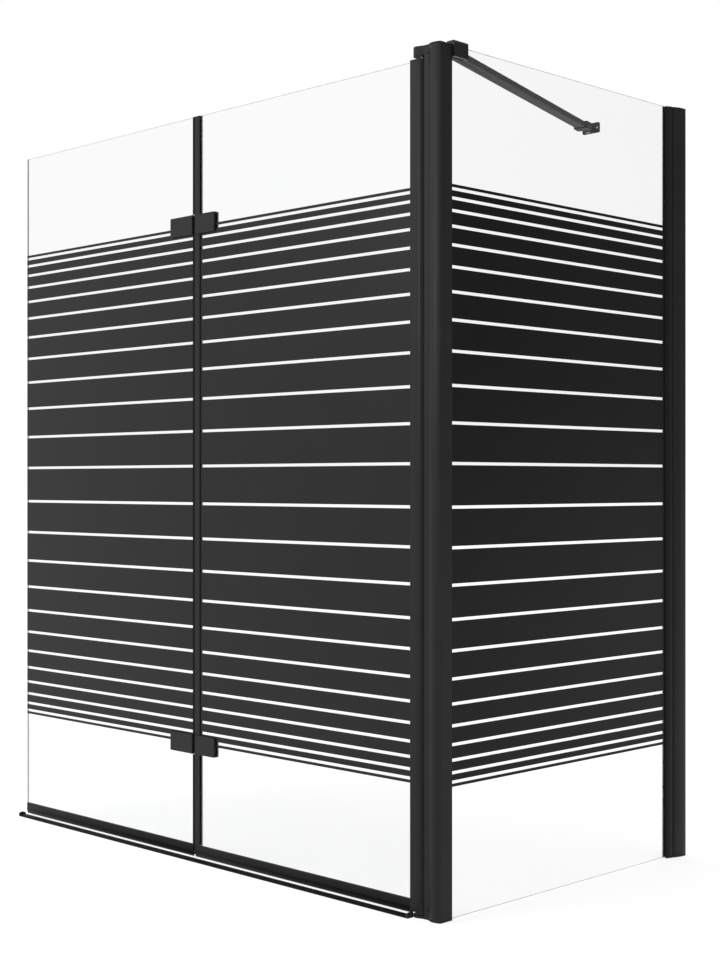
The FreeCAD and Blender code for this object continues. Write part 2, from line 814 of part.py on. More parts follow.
def wall_cap(label, bottom, upwards):
    """A plate on the ends of the wall profile and the adapter's nose, slotted for the glass,
    with a spigot behind the outer flank that takes its screw."""
    body = new_body(label)
    plate = new_sketch(body, "XY", bottom)
    add_outline(plate, [
        ("side_line + nose_half_tip", "nose_start"),
        ("side_line + nose_half_root", "mouth_y - clearance"),
        ("side_line + wall_profile_half_mouth", "mouth_y"),
        ("side_line + wall_profile_half_back", "wall_line"),
        ("side_line - wall_profile_half_mouth", "wall_line"),
        ("side_line - wall_profile_half_mouth", "mouth_y"),
        ("side_line - nose_half_root", "mouth_y - clearance"),
        ("side_line - nose_half_tip", "nose_start"),
        ("side_line - slot_half", "nose_start"),
        ("side_line - slot_half", "nose_start + adapter_slot_depth"),
        ("side_line + slot_half", "nose_start + adapter_slot_depth"),
        ("side_line + slot_half", "nose_start"),
    ], {0: ("nose_radius", 1), 2: ("wall_profile_flare_radius", 1), 6: ("nose_radius", 1)})
    pad(body, plate, "cap_thickness")
    spigot = new_sketch(body, "XY", "cap_thickness" if upwards else "post_top")
    add_box(spigot, "side_line + tongue_half + wall_spigot_gap",
            "side_line + tongue_half + wall_spigot_gap + wall_spigot_thickness",
            "flank_y - wall_spigot_width / 2", "flank_y + wall_spigot_width / 2")
    pad(body, spigot, "spigot_depth", back=not upwards)
    side_screw_holes(body, "side_line + tongue_half", "flank_y", WALL_CAP_SCREW_HEIGHTS,
                     "wall_cap_screw_radius + fit", "wall_profile_half_back")
    return body


def wall_cap_screws():
    body = new_body("wall_cap_screws")
    sketch = new_sketch(body, "YZ", "flank_middle")
    for height in WALL_CAP_SCREW_HEIGHTS:
        add_polygon(sketch, "flank_y", height, "wall_cap_screw_radius", SHANK_SIDES)
    pad(body, sketch, "wall_cap_screw_length", back=True)
    return body


# Threshold rail on the rim

def rail_outline(sketch, side_height):
    """Flat underneath and crowned on top, in the YZ plane."""
    add_outline(sketch, [
        ("rail_back", side_height),
        ("rail_front", side_height),
        ("rail_front", "0"),
        ("rail_back", "0"),
    ], {0: ("rail_crown_radius", 1)})


def threshold_rail():
    body = new_body("threshold_rail")
    section = new_sketch(body, "YZ", "rail_end + rail_cap_length")
    rail_outline(section, "rail_side_height")
    pad(body, section, "rail_start - rail_end - 2 * rail_cap_length")
    groove = new_sketch(body, "YZ", "rail_end + rail_cap_length")
    add_box(groove, "rail_back - (rail_width + rail_groove_width) / 2",
            "rail_back - (rail_width - rail_groove_width) / 2", "-overrun", "rail_groove_depth")
    pocket(body, groove, "rail_start - rail_end - 2 * rail_cap_length", back=True)
    return body


def rail_cap(label, start):
    """A moulded end stop, a little higher than the rail."""
    def outline(sketch):
        rail_outline(sketch, "rail_cap_height - rail_cap_round")
    return prism(label, "YZ", outline, "rail_cap_length", start)


# Stabiliser bar with its clamp and its wall bracket

def stabiliser_clamp():
    """An upturned U over the top edge of the side glass, with two ears for the bar."""
    def outline(sketch):
        add_outline(sketch, [
            ("clamp_outer_face", "clamp_bottom"),
            ("clamp_outer_face", "clamp_top"),
            ("clamp_inner_face", "clamp_top"),
            ("clamp_inner_face", "clamp_bottom"),
            ("side_line - slot_half", "clamp_bottom"),
            ("side_line - slot_half", "screen_height + gasket"),
            ("side_line + slot_half", "screen_height + gasket"),
            ("side_line + slot_half", "clamp_bottom"),
        ])
    body = prism("stabiliser_clamp", "XZ", outline, "clamp_length", "-clamp_start", back=True)
    soften(body, "Chamfer", "clamp_bevel",
           lambda edge: runs_along(1)(edge) and near(middle(edge), x="clamp_outer_face", z="clamp_top"))
    for low in ("bar_bottom - clearance - clamp_ear", "bar_top + clearance"):
        ear = new_sketch(body, "XY", low)
        add_outline(ear, [
            ("clamp_inner_face + clamp_inner_wall / 2", "bar_pivot_y + bar_width / 2"),
            ("bar_pivot_x", "bar_pivot_y + bar_width / 2"),
            ("bar_pivot_x", "bar_pivot_y - bar_width / 2"),
            ("clamp_inner_face + clamp_inner_wall / 2", "bar_pivot_y - bar_width / 2"),
        ], {1: ("x", "bar_pivot_x")})
        pad(body, ear, "clamp_ear")
    bore = new_sketch(body, "XY", "bar_bottom - clearance - clamp_ear - overrun")
    add_circle(bore, "bar_pivot_x", "bar_pivot_y", "bar_pin_radius + fit")
    pocket(body, bore, "bar_thickness + 2 * (clearance + clamp_ear + overrun)", back=True)
    for way in ("-", "+"):
        side_screw_holes(body, "side_line + slot_half - fit", "bar_pivot_y %s grub_spacing / 2" % way,
                         ["(clamp_bottom + screen_height) / 2"], "grub_radius + fit",
                         "clamp_outer_wall + overrun")
    return body


def clamp_grub_screws():
    """Two screws in the clamp's outer wall that press its gasket on the glass."""
    body = new_body("clamp_grub_screws")
    sketch = new_sketch(body, "YZ", "side_line + slot_half + fit")
    for way in ("-", "+"):
        add_polygon(sketch, "bar_pivot_y %s grub_spacing / 2" % way,
                    "(clamp_bottom + screen_height) / 2", "grub_radius", SHANK_SIDES)
    pad(body, sketch, "clamp_outer_wall - clearance")
    return body


def clamp_gasket():
    def outline(sketch):
        outer = "slot_half - fit"
        inner = "glass_half + print_thickness + fit"
        add_outline(sketch, [
            ("side_line + (%s)" % outer, "clamp_bottom + gasket"),
            ("side_line + (%s)" % outer, "screen_height + gasket - fit"),
            ("side_line - (%s)" % outer, "screen_height + gasket - fit"),
            ("side_line - (%s)" % outer, "clamp_bottom + gasket"),
            ("side_line - (%s)" % inner, "clamp_bottom + gasket"),
            ("side_line - (%s)" % inner, "screen_height + fit"),
            ("side_line + (%s)" % inner, "screen_height + fit"),
            ("side_line + (%s)" % inner, "clamp_bottom + gasket"),
        ])
    return prism("clamp_gasket", "XZ", outline, "clamp_length", "-clamp_start", back=True)


def bar_pin(label, bottom, top):
    """A vertical pin with a flat head, at the origin of its own frame."""
    body = new_body(label)
    shank = new_sketch(body, "XY", bottom)
    add_polygon(shank, "0", "0", "bar_pin_radius", HEAD_SIDES)
    pad(body, shank, "(%s) - (%s)" % (top, bottom))
    cap = new_sketch(body, "XY", top)
    add_polygon(cap, "0", "0", "bar_pin_head_radius", HEAD_SIDES)
    pad(body, cap, "bar_pin_head")
    return body


def stabiliser_bar():
    """A flat bar, round where it turns in the clamp and square where it seats in its socket."""
    body = new_body("stabiliser_bar")
    sketch = new_sketch(body, "XY", "bar_bottom")
    add_outline(sketch, [
        ("bar_width / 2", "0"),
        ("bar_width / 2", "socket_mouth + socket_seat"),
        ("-bar_width / 2", "socket_mouth + socket_seat"),
        ("-bar_width / 2", "0"),
    ], {3: ("y", "0")})
    add_circle(sketch, "0", "0", "bar_pin_radius + fit")
    pad(body, sketch, "bar_thickness")
    return body


def bar_socket():
    """The box that takes the bar's wall end, with an eye behind it for the bracket's pin."""
    body = new_body("bar_socket")
    block = new_sketch(body, "XY", "bar_bottom - socket_skin")
    add_box(block, "-socket_width / 2", "socket_width / 2", "socket_mouth", "socket_back")
    pad(body, block, "bar_thickness + 2 * socket_skin")
    soften(body, "Chamfer", "socket_corner", runs_along(2))
    eye = new_sketch(body, "XY", "eye_bottom")
    add_outline(eye, [
        ("eye_radius", "socket_back - overrun"),
        ("eye_radius", "bar_length"),
        ("-eye_radius", "bar_length"),
        ("-eye_radius", "socket_back - overrun"),
    ], {1: ("y", "bar_length")})
    pad(body, eye, "eye_height")
    bore = new_sketch(body, "XY", "eye_bottom - overrun")
    add_circle(bore, "0", "bar_length", "bar_pin_radius + fit")
    pocket(body, bore, "eye_height + 2 * overrun", back=True)
    mouth = new_sketch(body, "XZ", "-socket_mouth")
    add_box(mouth, "-bar_width / 2 - fit", "bar_width / 2 + fit", "bar_bottom - fit", "bar_top + fit")
    pocket(body, mouth, "socket_seat + clearance")
    return body


def wall_bracket():
    """A plate on the wall with two rounded ears that hold the eye of the bar's socket."""
    body = new_body("wall_bracket")
    middle_height = "screen_height + (bracket_rise - bracket_drop) / 2"
    plate = new_sketch(body, "XZ", "-wall_line")
    add_box(plate, "bracket_x - bracket_width / 2", "bracket_x + bracket_width / 2",
            "screen_height - bracket_drop", "screen_height + bracket_rise")
    for way in ("-", "+"):
        add_circle(plate, "bracket_x %s bracket_hole_spacing / 2" % way, middle_height, "bracket_hole_radius")
    pad(body, plate, "bracket_thickness")
    soften(body, "Chamfer", "bracket_corner", runs_along(1))
    root = "wall_line - bracket_thickness / 2"
    for low in ("lower_ear", "upper_ear"):
        ear = new_sketch(body, "XY", low)
        add_outline(ear, [
            ("bracket_x + eye_radius", "bracket_y"),
            ("bracket_x + eye_radius", root),
            ("bracket_x - eye_radius", root),
            ("bracket_x - eye_radius", "bracket_y"),
        ], {3: ("y", "bracket_y")})
        pad(body, ear, "bracket_ear")
    bore = new_sketch(body, "XY", "lower_ear - overrun")
    add_circle(bore, "bracket_x", "bracket_y", "bar_pin_radius + fit")
    pocket(body, bore, "upper_ear - lower_ear + bracket_ear + 2 * overrun", back=True)
    return body


# Turning profile, its plugs and pins

def turning_outline(sketch):
    """Half round towards the post, square at the glass, slotted for it."""
    slot_floor = "profile_end + profile_slot_depth"
    add_outline(sketch, [
        ("pivot_x", "pivot_y + profile_radius"),
        ("profile_end", "pivot_y + profile_radius"),
        ("profile_end", "pivot_y + slot_half"),
        (slot_floor, "pivot_y + slot_half"),
        (slot_floor, "pivot_y - slot_half"),
        ("profile_end", "pivot_y - slot_half"),
        ("profile_end", "pivot_y - profile_radius"),
        ("pivot_x", "pivot_y - profile_radius"),
    ], {7: ("x", "pivot_x")})


def round_profile_corners(body):
    """Rounds the two outer corners beside the glass."""
    soften(body, "Fillet", "profile_corner", lambda edge: runs_along(2)(edge) and any(
        near(middle(edge), x="profile_end", y=y) for y in
        ("pivot_y + profile_radius", "pivot_y - profile_radius")))


def turning_profile():
    low = "profile_bottom + plug_flange"
    height = "panel_top - profile_bottom - 2 * plug_flange"
    body = prism("turning_profile", "XY", turning_outline, height, low)
    round_profile_corners(body)
    hollow = new_sketch(body, "XY", low)
    add_circle(hollow, "pivot_x", "pivot_y", "profile_bore")
    for near_side, far_side in (("slot_half + post_wall", "profile_radius - post_wall"),
                                ("-(profile_radius - post_wall)", "-(slot_half + post_wall)")):
        add_box(hollow, "profile_end + post_wall", "profile_end + profile_slot_depth",
                "pivot_y + (%s)" % near_side, "pivot_y + (%s)" % far_side)
    pocket(body, hollow, height, back=True)
    return body


def pivot_plug(label, flange_low, upwards):
    """The bearing plug in one end of the turning profile: a flange and a sleeve on the pin."""
    body = prism(label, "XY", turning_outline, "plug_flange", flange_low)
    round_profile_corners(body)
    sleeve_start = flange_low + " + plug_flange" if upwards else flange_low
    sleeve = new_sketch(body, "XY", sleeve_start)
    add_polygon(sleeve, "pivot_x", "pivot_y", "profile_bore - fit", HEAD_SIDES)
    pad(body, sleeve, "plug_length - plug_flange", back=not upwards)
    bore = new_sketch(body, "XY", flange_low)
    add_circle(bore, "pivot_x", "pivot_y", "pin_radius + fit")
    pocket(body, bore, "plug_length", back=True)
    if not upwards:
        lower_bore = new_sketch(body, "XY", flange_low + " + plug_flange")
        add_circle(lower_bore, "pivot_x", "pivot_y", "pin_radius + fit")
        pocket(body, lower_bore, "plug_length")
    return body


def profile_gasket():
    """The soft channel round the inner glass's edge in the turning profile's slot."""
    floor = "profile_end + profile_slot_depth - fit"
    mouth = "profile_end - clearance"
    outer = "(slot_half - fit)"
    inner = "(glass_half + print_thickness + fit)"

    def outline(sketch):
        add_outline(sketch, [
            (floor, "pivot_y - " + outer),
            (floor, "pivot_y + " + outer),
            (mouth, "pivot_y + " + outer),
            (mouth, "pivot_y + " + inner),
            (floor + " - gasket + 2 * fit", "pivot_y + " + inner),
            (floor + " - gasket + 2 * fit", "pivot_y - " + inner),
            (mouth, "pivot_y - " + inner),
            (mouth, "pivot_y - " + outer),
        ])
    return prism("profile_gasket", "XY", outline, "panel_top - glass_lift", "glass_lift")


def round_bar(label, low, length, radius):
    def outline(sketch):
        add_circle(sketch, "pivot_x", "pivot_y", radius)
    return prism(label, "XY", outline, length, low)


def thrust_washer():
    def outline(sketch):
        add_polygon(sketch, "pivot_x", "pivot_y", "washer_radius", 2 * HEAD_SIDES)
        add_circle(sketch, "pivot_x", "pivot_y", "pin_radius + fit")
    return prism("thrust_washer", "XY", outline, "washer_height - fit", "foot_thickness")


# Folding glasses

HINGE_HEIGHTS = ("hinge_low", "hinge_high")
INNER_SCREWS = ("fold_x + inner_screw_near", "fold_x + inner_screw_far")
OUTER_SCREWS = ("fold_x - outer_screw_near", "fold_x - outer_screw_far")


def folding_glass(label, right, left, places):
    """Glass of one folding panel with its holes for the hinge screws."""
    body = new_body(label)
    sketch = new_sketch(body, "XZ", "-(pivot_y + glass_half)")
    add_box(sketch, left, right, "glass_lift", "panel_top")
    for height in HINGE_HEIGHTS:
        for place in places:
            add_polygon(sketch, place, height, "sleeve_radius + fit", SHANK_SIDES)
    pad(body, sketch, "glass_thickness")
    return body


def folding_print(label, right, left, places):
    holes = [(place, height) for height in HINGE_HEIGHTS for place in places]
    return glass_print(label, (left, "pivot_y - glass_half - print_thickness"),
                       "(%s) - (%s)" % (right, left), "print_thickness", holes)


def bottom_seal(label, right, left):
    """A soft channel on the glass's lower edge with two lips that lean in over the rim."""
    def outline(sketch):
        inner = "glass_half + fit"
        outer = "glass_half + fit + seal_wall"
        top = "glass_lift + seal_height"
        sole = "glass_lift - fit - seal_wall"
        tip = "glass_lift - fit - seal_wall - seal_lip_drop"
        lean = "seal_lip_drop / 3"
        add_outline(sketch, [
            ("pivot_y - (%s)" % outer, top),
            ("pivot_y - (%s)" % inner, top),
            ("pivot_y - (%s)" % inner, "glass_lift - fit"),
            ("pivot_y + (%s)" % inner, "glass_lift - fit"),
            ("pivot_y + (%s)" % inner, top),
            ("pivot_y + (%s)" % outer, top),
            ("pivot_y + (%s)" % outer, sole),
            ("pivot_y + (%s) - %s" % (outer, lean), "%s + %s" % (tip, lean)),
            ("pivot_y + (%s) - %s - seal_lip_thickness" % (outer, lean), "%s + %s" % (tip, lean)),
            ("pivot_y + (%s) - seal_lip_thickness" % outer, sole),
            ("pivot_y - (%s) + seal_lip_thickness" % outer, sole),
            ("pivot_y - (%s) + %s + seal_lip_thickness" % (outer, lean), tip),
            ("pivot_y - (%s) + %s" % (outer, lean), tip),
            ("pivot_y - (%s)" % outer, sole),
        ])
    return prism(label, "YZ", outline, "(%s) - (%s)" % (right, left), left)


def seam_profile():
    """A channel on the inner glass's edge that covers the seam, cut away at the hinges."""
    low = "glass_lift + seal_height + clearance"
    half = "glass_half + print_thickness + clearance"

    def outline(sketch):
        add_outline(sketch, [
            ("seam_x", "pivot_y - (%s) - seam_leaf" % half),
            ("seam_inside", "pivot_y - (%s) - seam_leaf" % half),
            ("seam_inside", "pivot_y - (%s)" % half),
            ("seam_x + seam_web", "pivot_y - (%s)" % half),
            ("seam_x + seam_web", "pivot_y + (%s)" % half),
            ("seam_inside", "pivot_y + (%s)" % half),
            ("seam_inside", "pivot_y + (%s) + seam_leaf" % half),
            ("seam_x", "pivot_y + (%s) + seam_leaf" % half),
        ])
    body = prism("seam_profile", "XY", outline, "panel_top - (%s)" % low, low)
    soften(body, "Chamfer", "seam_leaf / 2", lambda edge: runs_along(2)(edge) and any(
        near(middle(edge), x=x, y="pivot_y - (%s) - seam_leaf" % half) for x in ("seam_x", "seam_inside")))
    leaves = new_sketch(body, "XZ", "-(pivot_y + (%s) + seam_leaf + overrun)" % half)
    webs = new_sketch(body, "XZ", "-(pivot_y + glass_half)")
    for height in HINGE_HEIGHTS:
        bottom = height + " - hinge_height / 2 - clearance"
        top = height + " + hinge_height / 2 + clearance"
        add_box(leaves, "seam_x + seam_web", "seam_inside + overrun", bottom, top)
        add_box(webs, "seam_x - overrun", "seam_x + seam_web + overrun",
                bottom + " - hinge_pin_head", top + " + hinge_pin_head")
    pocket(body, leaves, "2 * ((%s) + seam_leaf + overrun)" % half, back=True)
    pocket(body, webs, "print_thickness + clearance + seam_leaf + overrun")
    return body


def seam_seal():
    """The soft lip on the seam profile that closes most of the gap to the outer glass."""
    low = "glass_lift + seal_height + clearance"

    def outline(sketch):
        add_outline(sketch, [
            ("seam_x - fit", "pivot_y - seam_lip_width / 2"),
            ("seam_x - fit", "pivot_y + seam_lip_width / 2"),
            ("seam_x - seam_lip", "pivot_y + seam_lip_width / 4"),
            ("seam_x - seam_lip", "pivot_y - seam_lip_width / 4"),
        ])
    return prism("seam_seal", "XY", outline, "panel_top - (%s)" % low, low)


# Hinges between the glasses, each drawn about its pin

PLATE_LOW = "-hinge_height / 2"
PLATE_HIGH = "hinge_height / 2"
BACK_FACE = "(glass_inner_face + hinge_pad)"
BACK_OUTSIDE = "(glass_inner_face + hinge_pad + hinge_plate)"
FRONT_FACE = "(glass_outer_face - print_thickness - hinge_pad)"
FRONT_OUTSIDE = "(glass_outer_face - print_thickness - hinge_pad - hinge_plate)"


def knuckle(body, low, height):
    """A barrel on the pin."""
    barrel = new_sketch(body, "XY", low)
    add_circle(barrel, "0", "0", "knuckle_radius")
    pad(body, barrel, height)


def plate_sketch(body, near_x, far_x, way, face):
    """A plate's rectangle, from near the pin outwards, way 1 for +X and -1 for -X."""
    sketch = new_sketch(body, "XZ", "-(%s)" % face)
    if way > 0:
        add_box(sketch, near_x, far_x, PLATE_LOW, PLATE_HIGH)
    else:
        add_box(sketch, "-(%s)" % far_x, "-(%s)" % near_x, PLATE_LOW, PLATE_HIGH)
    return sketch


def far_corners(far_x, way):
    """Edges through the plate at its two corners away from the pin."""
    far = far_x if way > 0 else "-(%s)" % far_x
    return lambda edge: runs_along(1)(edge) and any(
        near(middle(edge), x=far, z=z) for z in (PLATE_LOW, PLATE_HIGH))


def screw_holes_in(body, places, radius, sides, face, length, back):
    holes = new_sketch(body, "XZ", "-(%s)" % face)
    for place in places:
        add_polygon(holes, place, "0", radius, sides)
    pocket(body, holes, length, back=back)


def hinge_leaf(label, way, near_x, far_x, places, barrels, notches):
    """The back leaf of a hinge: plate, knuckles, countersunk screw holes and the pin's bore."""
    body = new_body(label)
    plate = plate_sketch(body, near_x, far_x, way, BACK_FACE)
    pad(body, plate, "hinge_plate", back=True)
    soften(body, "Chamfer", "hinge_corner", far_corners(far_x, way))
    for low, height in notches:
        notch = new_sketch(body, "XY", low)
        reach = "knuckle_radius + clearance + fit"
        left, right = ("0", reach) if way > 0 else ("-(%s)" % reach, "0")
        add_box(notch, left, right, "-fold_offset", "knuckle_radius")
        pocket(body, notch, height, back=True)
    for low, height in barrels:
        web = new_sketch(body, "XY", low)
        reach = "knuckle_radius + overrun"
        left, right = ("0", reach) if way > 0 else ("-(%s)" % reach, "0")
        add_box(web, left, right, "-knuckle_radius", BACK_OUTSIDE)
        pad(body, web, height)
        knuckle(body, low, height)
    bore = new_sketch(body, "XY", PLATE_LOW + " - overrun")
    add_circle(bore, "0", "0", "hinge_pin_radius + fit")
    pocket(body, bore, "hinge_height + 2 * overrun", back=True)
    screw_holes_in(body, places, "hinge_screw_radius + fit", SHANK_SIDES,
                   BACK_FACE + " - overrun", "hinge_plate + 2 * overrun", False)
    screw_holes_in(body, places, "hinge_screw_head_radius + fit", HEAD_SIDES,
                   BACK_OUTSIDE, "hinge_screw_head", True)
    return body


def hinge_front(label, way, near_x, far_x, places, rib):
    """The front plate of a hinge, edges broken, with blind holes behind for the screws."""
    body = new_body(label)
    plate = plate_sketch(body, near_x, far_x, way, FRONT_FACE)
    pad(body, plate, "hinge_plate")
    soften(body, "Chamfer", "hinge_corner", far_corners(far_x, way))
    soften(body, "Chamfer", "hinge_chamfer", lambda edge: near(middle(edge), y=FRONT_OUTSIDE))
    if rib:
        line = new_sketch(body, "XY", PLATE_LOW)
        place = "%s + hinge_rib_radius" % near_x
        add_polygon(line, place if way > 0 else "-(%s)" % place, FRONT_OUTSIDE,
                    "hinge_rib_radius", HEAD_SIDES)
        pad(body, line, "hinge_height")
    screw_holes_in(body, places, "hinge_screw_radius + fit", SHANK_SIDES,
                   FRONT_FACE, "hinge_plate - hinge_screw_skin", True)
    return body


INNER_PLATE = ("inner_plate_start", "inner_plate_start + inner_plate_length")
OUTER_PLATE = ("outer_plate_start", "outer_plate_start + outer_plate_length")
INNER_LOCAL = ("inner_screw_near", "inner_screw_far")
OUTER_LOCAL = ("-outer_screw_near", "-outer_screw_far")
MIDDLE_BARREL = [("-knuckle_height / 2", "knuckle_height")]
MIDDLE_ROOM = [("-knuckle_height / 2 - clearance", "knuckle_height + 2 * clearance")]
END_BARRELS = [
    ("-hinge_height / 2", "outer_knuckle_height"),
    ("hinge_height / 2 - outer_knuckle_height", "outer_knuckle_height"),
]


def at_hinges(label, draw):
    """The pieces that repeat at both hinges, as one body, drawn in the screen's frame."""
    body = new_body(label)
    for height in HINGE_HEIGHTS:
        draw(body, height)
    return body


def hinge_pads(label, plate, way, places):
    """Soft pads between the plates and the glass, pierced for the screws' sleeves."""
    def draw(body, height):
        for face, outward in (("pivot_y + glass_half + fit", True),
                              ("pivot_y - glass_half - print_thickness - fit", False)):
            sketch = new_sketch(body, "XZ", "-(%s)" % face)
            near_x, far_x = plate
            if way > 0:
                left, right = "fold_x + " + near_x, "fold_x + " + far_x
            else:
                left, right = "fold_x - (%s)" % far_x, "fold_x - (%s)" % near_x
            add_box(sketch, left, right, height + " - hinge_height / 2", height + " + hinge_height / 2")
            for place in places:
                add_polygon(sketch, place, height, "sleeve_radius + fit", SHANK_SIDES)
            pad(body, sketch, "hinge_pad - 2 * fit", back=outward)
    return at_hinges(label, draw)


def hinge_sleeves(label, places):
    """Plastic sleeves in the glass holes, one on each screw."""
    def draw(body, height):
        sketch = new_sketch(body, "XZ", "-(pivot_y + glass_half)")
        for place in places:
            add_polygon(sketch, place, height, "sleeve_radius", SHANK_SIDES)
            add_polygon(sketch, place, height, "hinge_screw_radius + fit", SHANK_SIDES)
        pad(body, sketch, "glass_thickness")
    return at_hinges(label, draw)


def hinge_screws(label, places):
    """Countersunk screws from the inside into the front plates."""
    outside = "fold_y + " + BACK_OUTSIDE
    tip = "fold_y + " + FRONT_OUTSIDE + " + hinge_screw_skin + fit"

    def draw(body, height):
        heads = new_sketch(body, "XZ", "-(%s - fit)" % outside)
        shanks = new_sketch(body, "XZ", "-(%s - fit)" % outside)
        for place in places:
            add_polygon(heads, place, height, "hinge_screw_head_radius", HEAD_SIDES)
            add_polygon(shanks, place, height, "hinge_screw_radius", SHANK_SIDES)
        pad(body, heads, "hinge_screw_head - 2 * fit")
        pad(body, shanks, "(%s) - (%s)" % (outside, tip))
    return at_hinges(label, draw)


def hinge_pins():
    def draw(body, height):
        shank = new_sketch(body, "XY", height + " - hinge_height / 2")
        add_circle(shank, "fold_x", "fold_y", "hinge_pin_radius")
        pad(body, shank, "hinge_height")
        for low in (height + " - hinge_height / 2 - hinge_pin_head", height + " + hinge_height / 2"):
            head = new_sketch(body, "XY", low)
            add_polygon(head, "fold_x", "fold_y", "hinge_pin_head_radius", HEAD_SIDES)
            pad(body, head, "hinge_pin_head")
    return at_hinges("hinge_pins", draw)


# The fixed side

keep(corner_post())
keep(post_cap("post_foot_cap", "0", "foot_thickness", "0", "foot_thickness", "foot_thickness", True))
keep(post_cap("post_top_cap", "post_top", "cap_thickness", "arm_bottom", "arm_height", "post_top", False))
keep(cap_screws())
keep(seal_strip())
keep(group("pivot_pins", [
    round_bar("lower_pin", "clearance", "pin_length", "pin_radius"),
    round_bar("upper_pin", "post_top - clearance - pin_length", "pin_length", "pin_radius"),
]))
keep(thrust_washer())
keep(side_glass())
keep(side_glass_print())
keep(channel_gasket("post_gasket", "side_line", "post_back", 1, "post_slot_depth",
                    "foot_thickness", "post_top", "clearance"))
keep(channel_gasket("adapter_gasket", "side_line", "nose_start", -1, "adapter_slot_depth",
                    "cap_thickness", "post_top", "gasket_lip"))
keep(adapter_profile())
keep(wall_profile())
keep(adapter_screws())
keep(wall_cap("wall_foot_cap", "0", True))
keep(wall_cap("wall_top_cap", "post_top", False))
keep(wall_cap_screws())
keep(threshold_rail())
keep(rail_cap("rail_cap_far", "rail_end"))
keep(rail_cap("rail_cap_near", "rail_start - rail_cap_length"))
keep(stabiliser_clamp())
keep(clamp_gasket())
keep(clamp_grub_screws())
keep(bar_pin("bar_pivot_pin", "bar_bottom - clearance - clamp_ear",
             "bar_top + clearance + clamp_ear + fit"), "bar_pivot_x", "bar_pivot_y")

# The stabiliser bar and its wall bracket

keep(stabiliser_bar(), "bar_pivot_x", "bar_pivot_y", turn="bar_turn")
keep(bar_socket(), "bar_pivot_x", "bar_pivot_y", turn="bar_turn")
keep(wall_bracket())
keep(bar_pin("bracket_pin", "lower_ear", "upper_ear + bracket_ear + fit"), "bracket_x", "bracket_y")

# The inner panel, which turns on the post

keep(turning_profile())
keep(group("pivot_plugs", [
    pivot_plug("lower_plug", "profile_bottom", True),
    pivot_plug("upper_plug", "panel_top - plug_flange", False),
]))
keep(profile_gasket())
keep(folding_glass("inner_glass", "inner_glass_start", "inner_glass_end", INNER_SCREWS))
keep(folding_print("inner_glass_print", "inner_glass_start", "inner_glass_end", INNER_SCREWS))
keep(seam_profile())
keep(seam_seal())
keep(bottom_seal("inner_bottom_seal", "profile_end - seal_end_gap", "seam_x + seal_end_gap"))
keep(group("inner_hinge_leaves", [
    place_at(hinge_leaf("inner_leaf", 1, *INNER_PLATE, INNER_LOCAL, MIDDLE_BARREL, []),
             "fold_x", "fold_y", height)
    for height in HINGE_HEIGHTS
]))
keep(group("inner_hinge_plates", [
    place_at(hinge_front("inner_plate", 1, *INNER_PLATE, INNER_LOCAL, False), "fold_x", "fold_y", height)
    for height in HINGE_HEIGHTS
]))
keep(hinge_pads("inner_hinge_pads", INNER_PLATE, 1, INNER_SCREWS))
keep(hinge_sleeves("inner_hinge_sleeves", INNER_SCREWS))
keep(hinge_screws("inner_hinge_screws", INNER_SCREWS))
keep(hinge_pins())

# The outer panel, which folds on the inner one

keep(folding_glass("outer_glass", "outer_glass_start", "outer_glass_end", OUTER_SCREWS))
keep(folding_print("outer_glass_print", "outer_glass_start", "outer_glass_end", OUTER_SCREWS))
keep(bottom_seal("outer_bottom_seal", "outer_glass_start - seal_end_gap", "outer_glass_end + seal_end_gap"))
keep(group("outer_hinge_leaves", [
    place_at(hinge_leaf("outer_leaf", -1, *OUTER_PLATE, OUTER_LOCAL, END_BARRELS, MIDDLE_ROOM),
             "fold_x", "fold_y", height)
    for height in HINGE_HEIGHTS
]))
keep(group("outer_hinge_plates", [
    place_at(hinge_front("outer_plate", -1, *OUTER_PLATE, OUTER_LOCAL, True), "fold_x", "fold_y", height)
    for height in HINGE_HEIGHTS
]))
keep(hinge_pads("outer_hinge_pads", OUTER_PLATE, -1, OUTER_SCREWS))
keep(hinge_sleeves("outer_hinge_sleeves", OUTER_SCREWS))
keep(hinge_screws("outer_hinge_screws", OUTER_SCREWS))

# Check and write

doc.recompute()
for item in doc.Objects:
    if "Invalid" in item.State or "Error" in item.State:
        raise RuntimeError(item.Name + " has failed: " + ", ".join(item.State))
os.makedirs("parts", exist_ok=True)
for item in parts:
    shape = item.Shape
    if shape.isNull() or not shape.isValid():
        raise RuntimeError(item.Label + " has no valid shape")
for item in parts:
    item.Shape.exportStep("parts/%s.step" % item.Label)
print("%d sub-parts written" % len(parts))
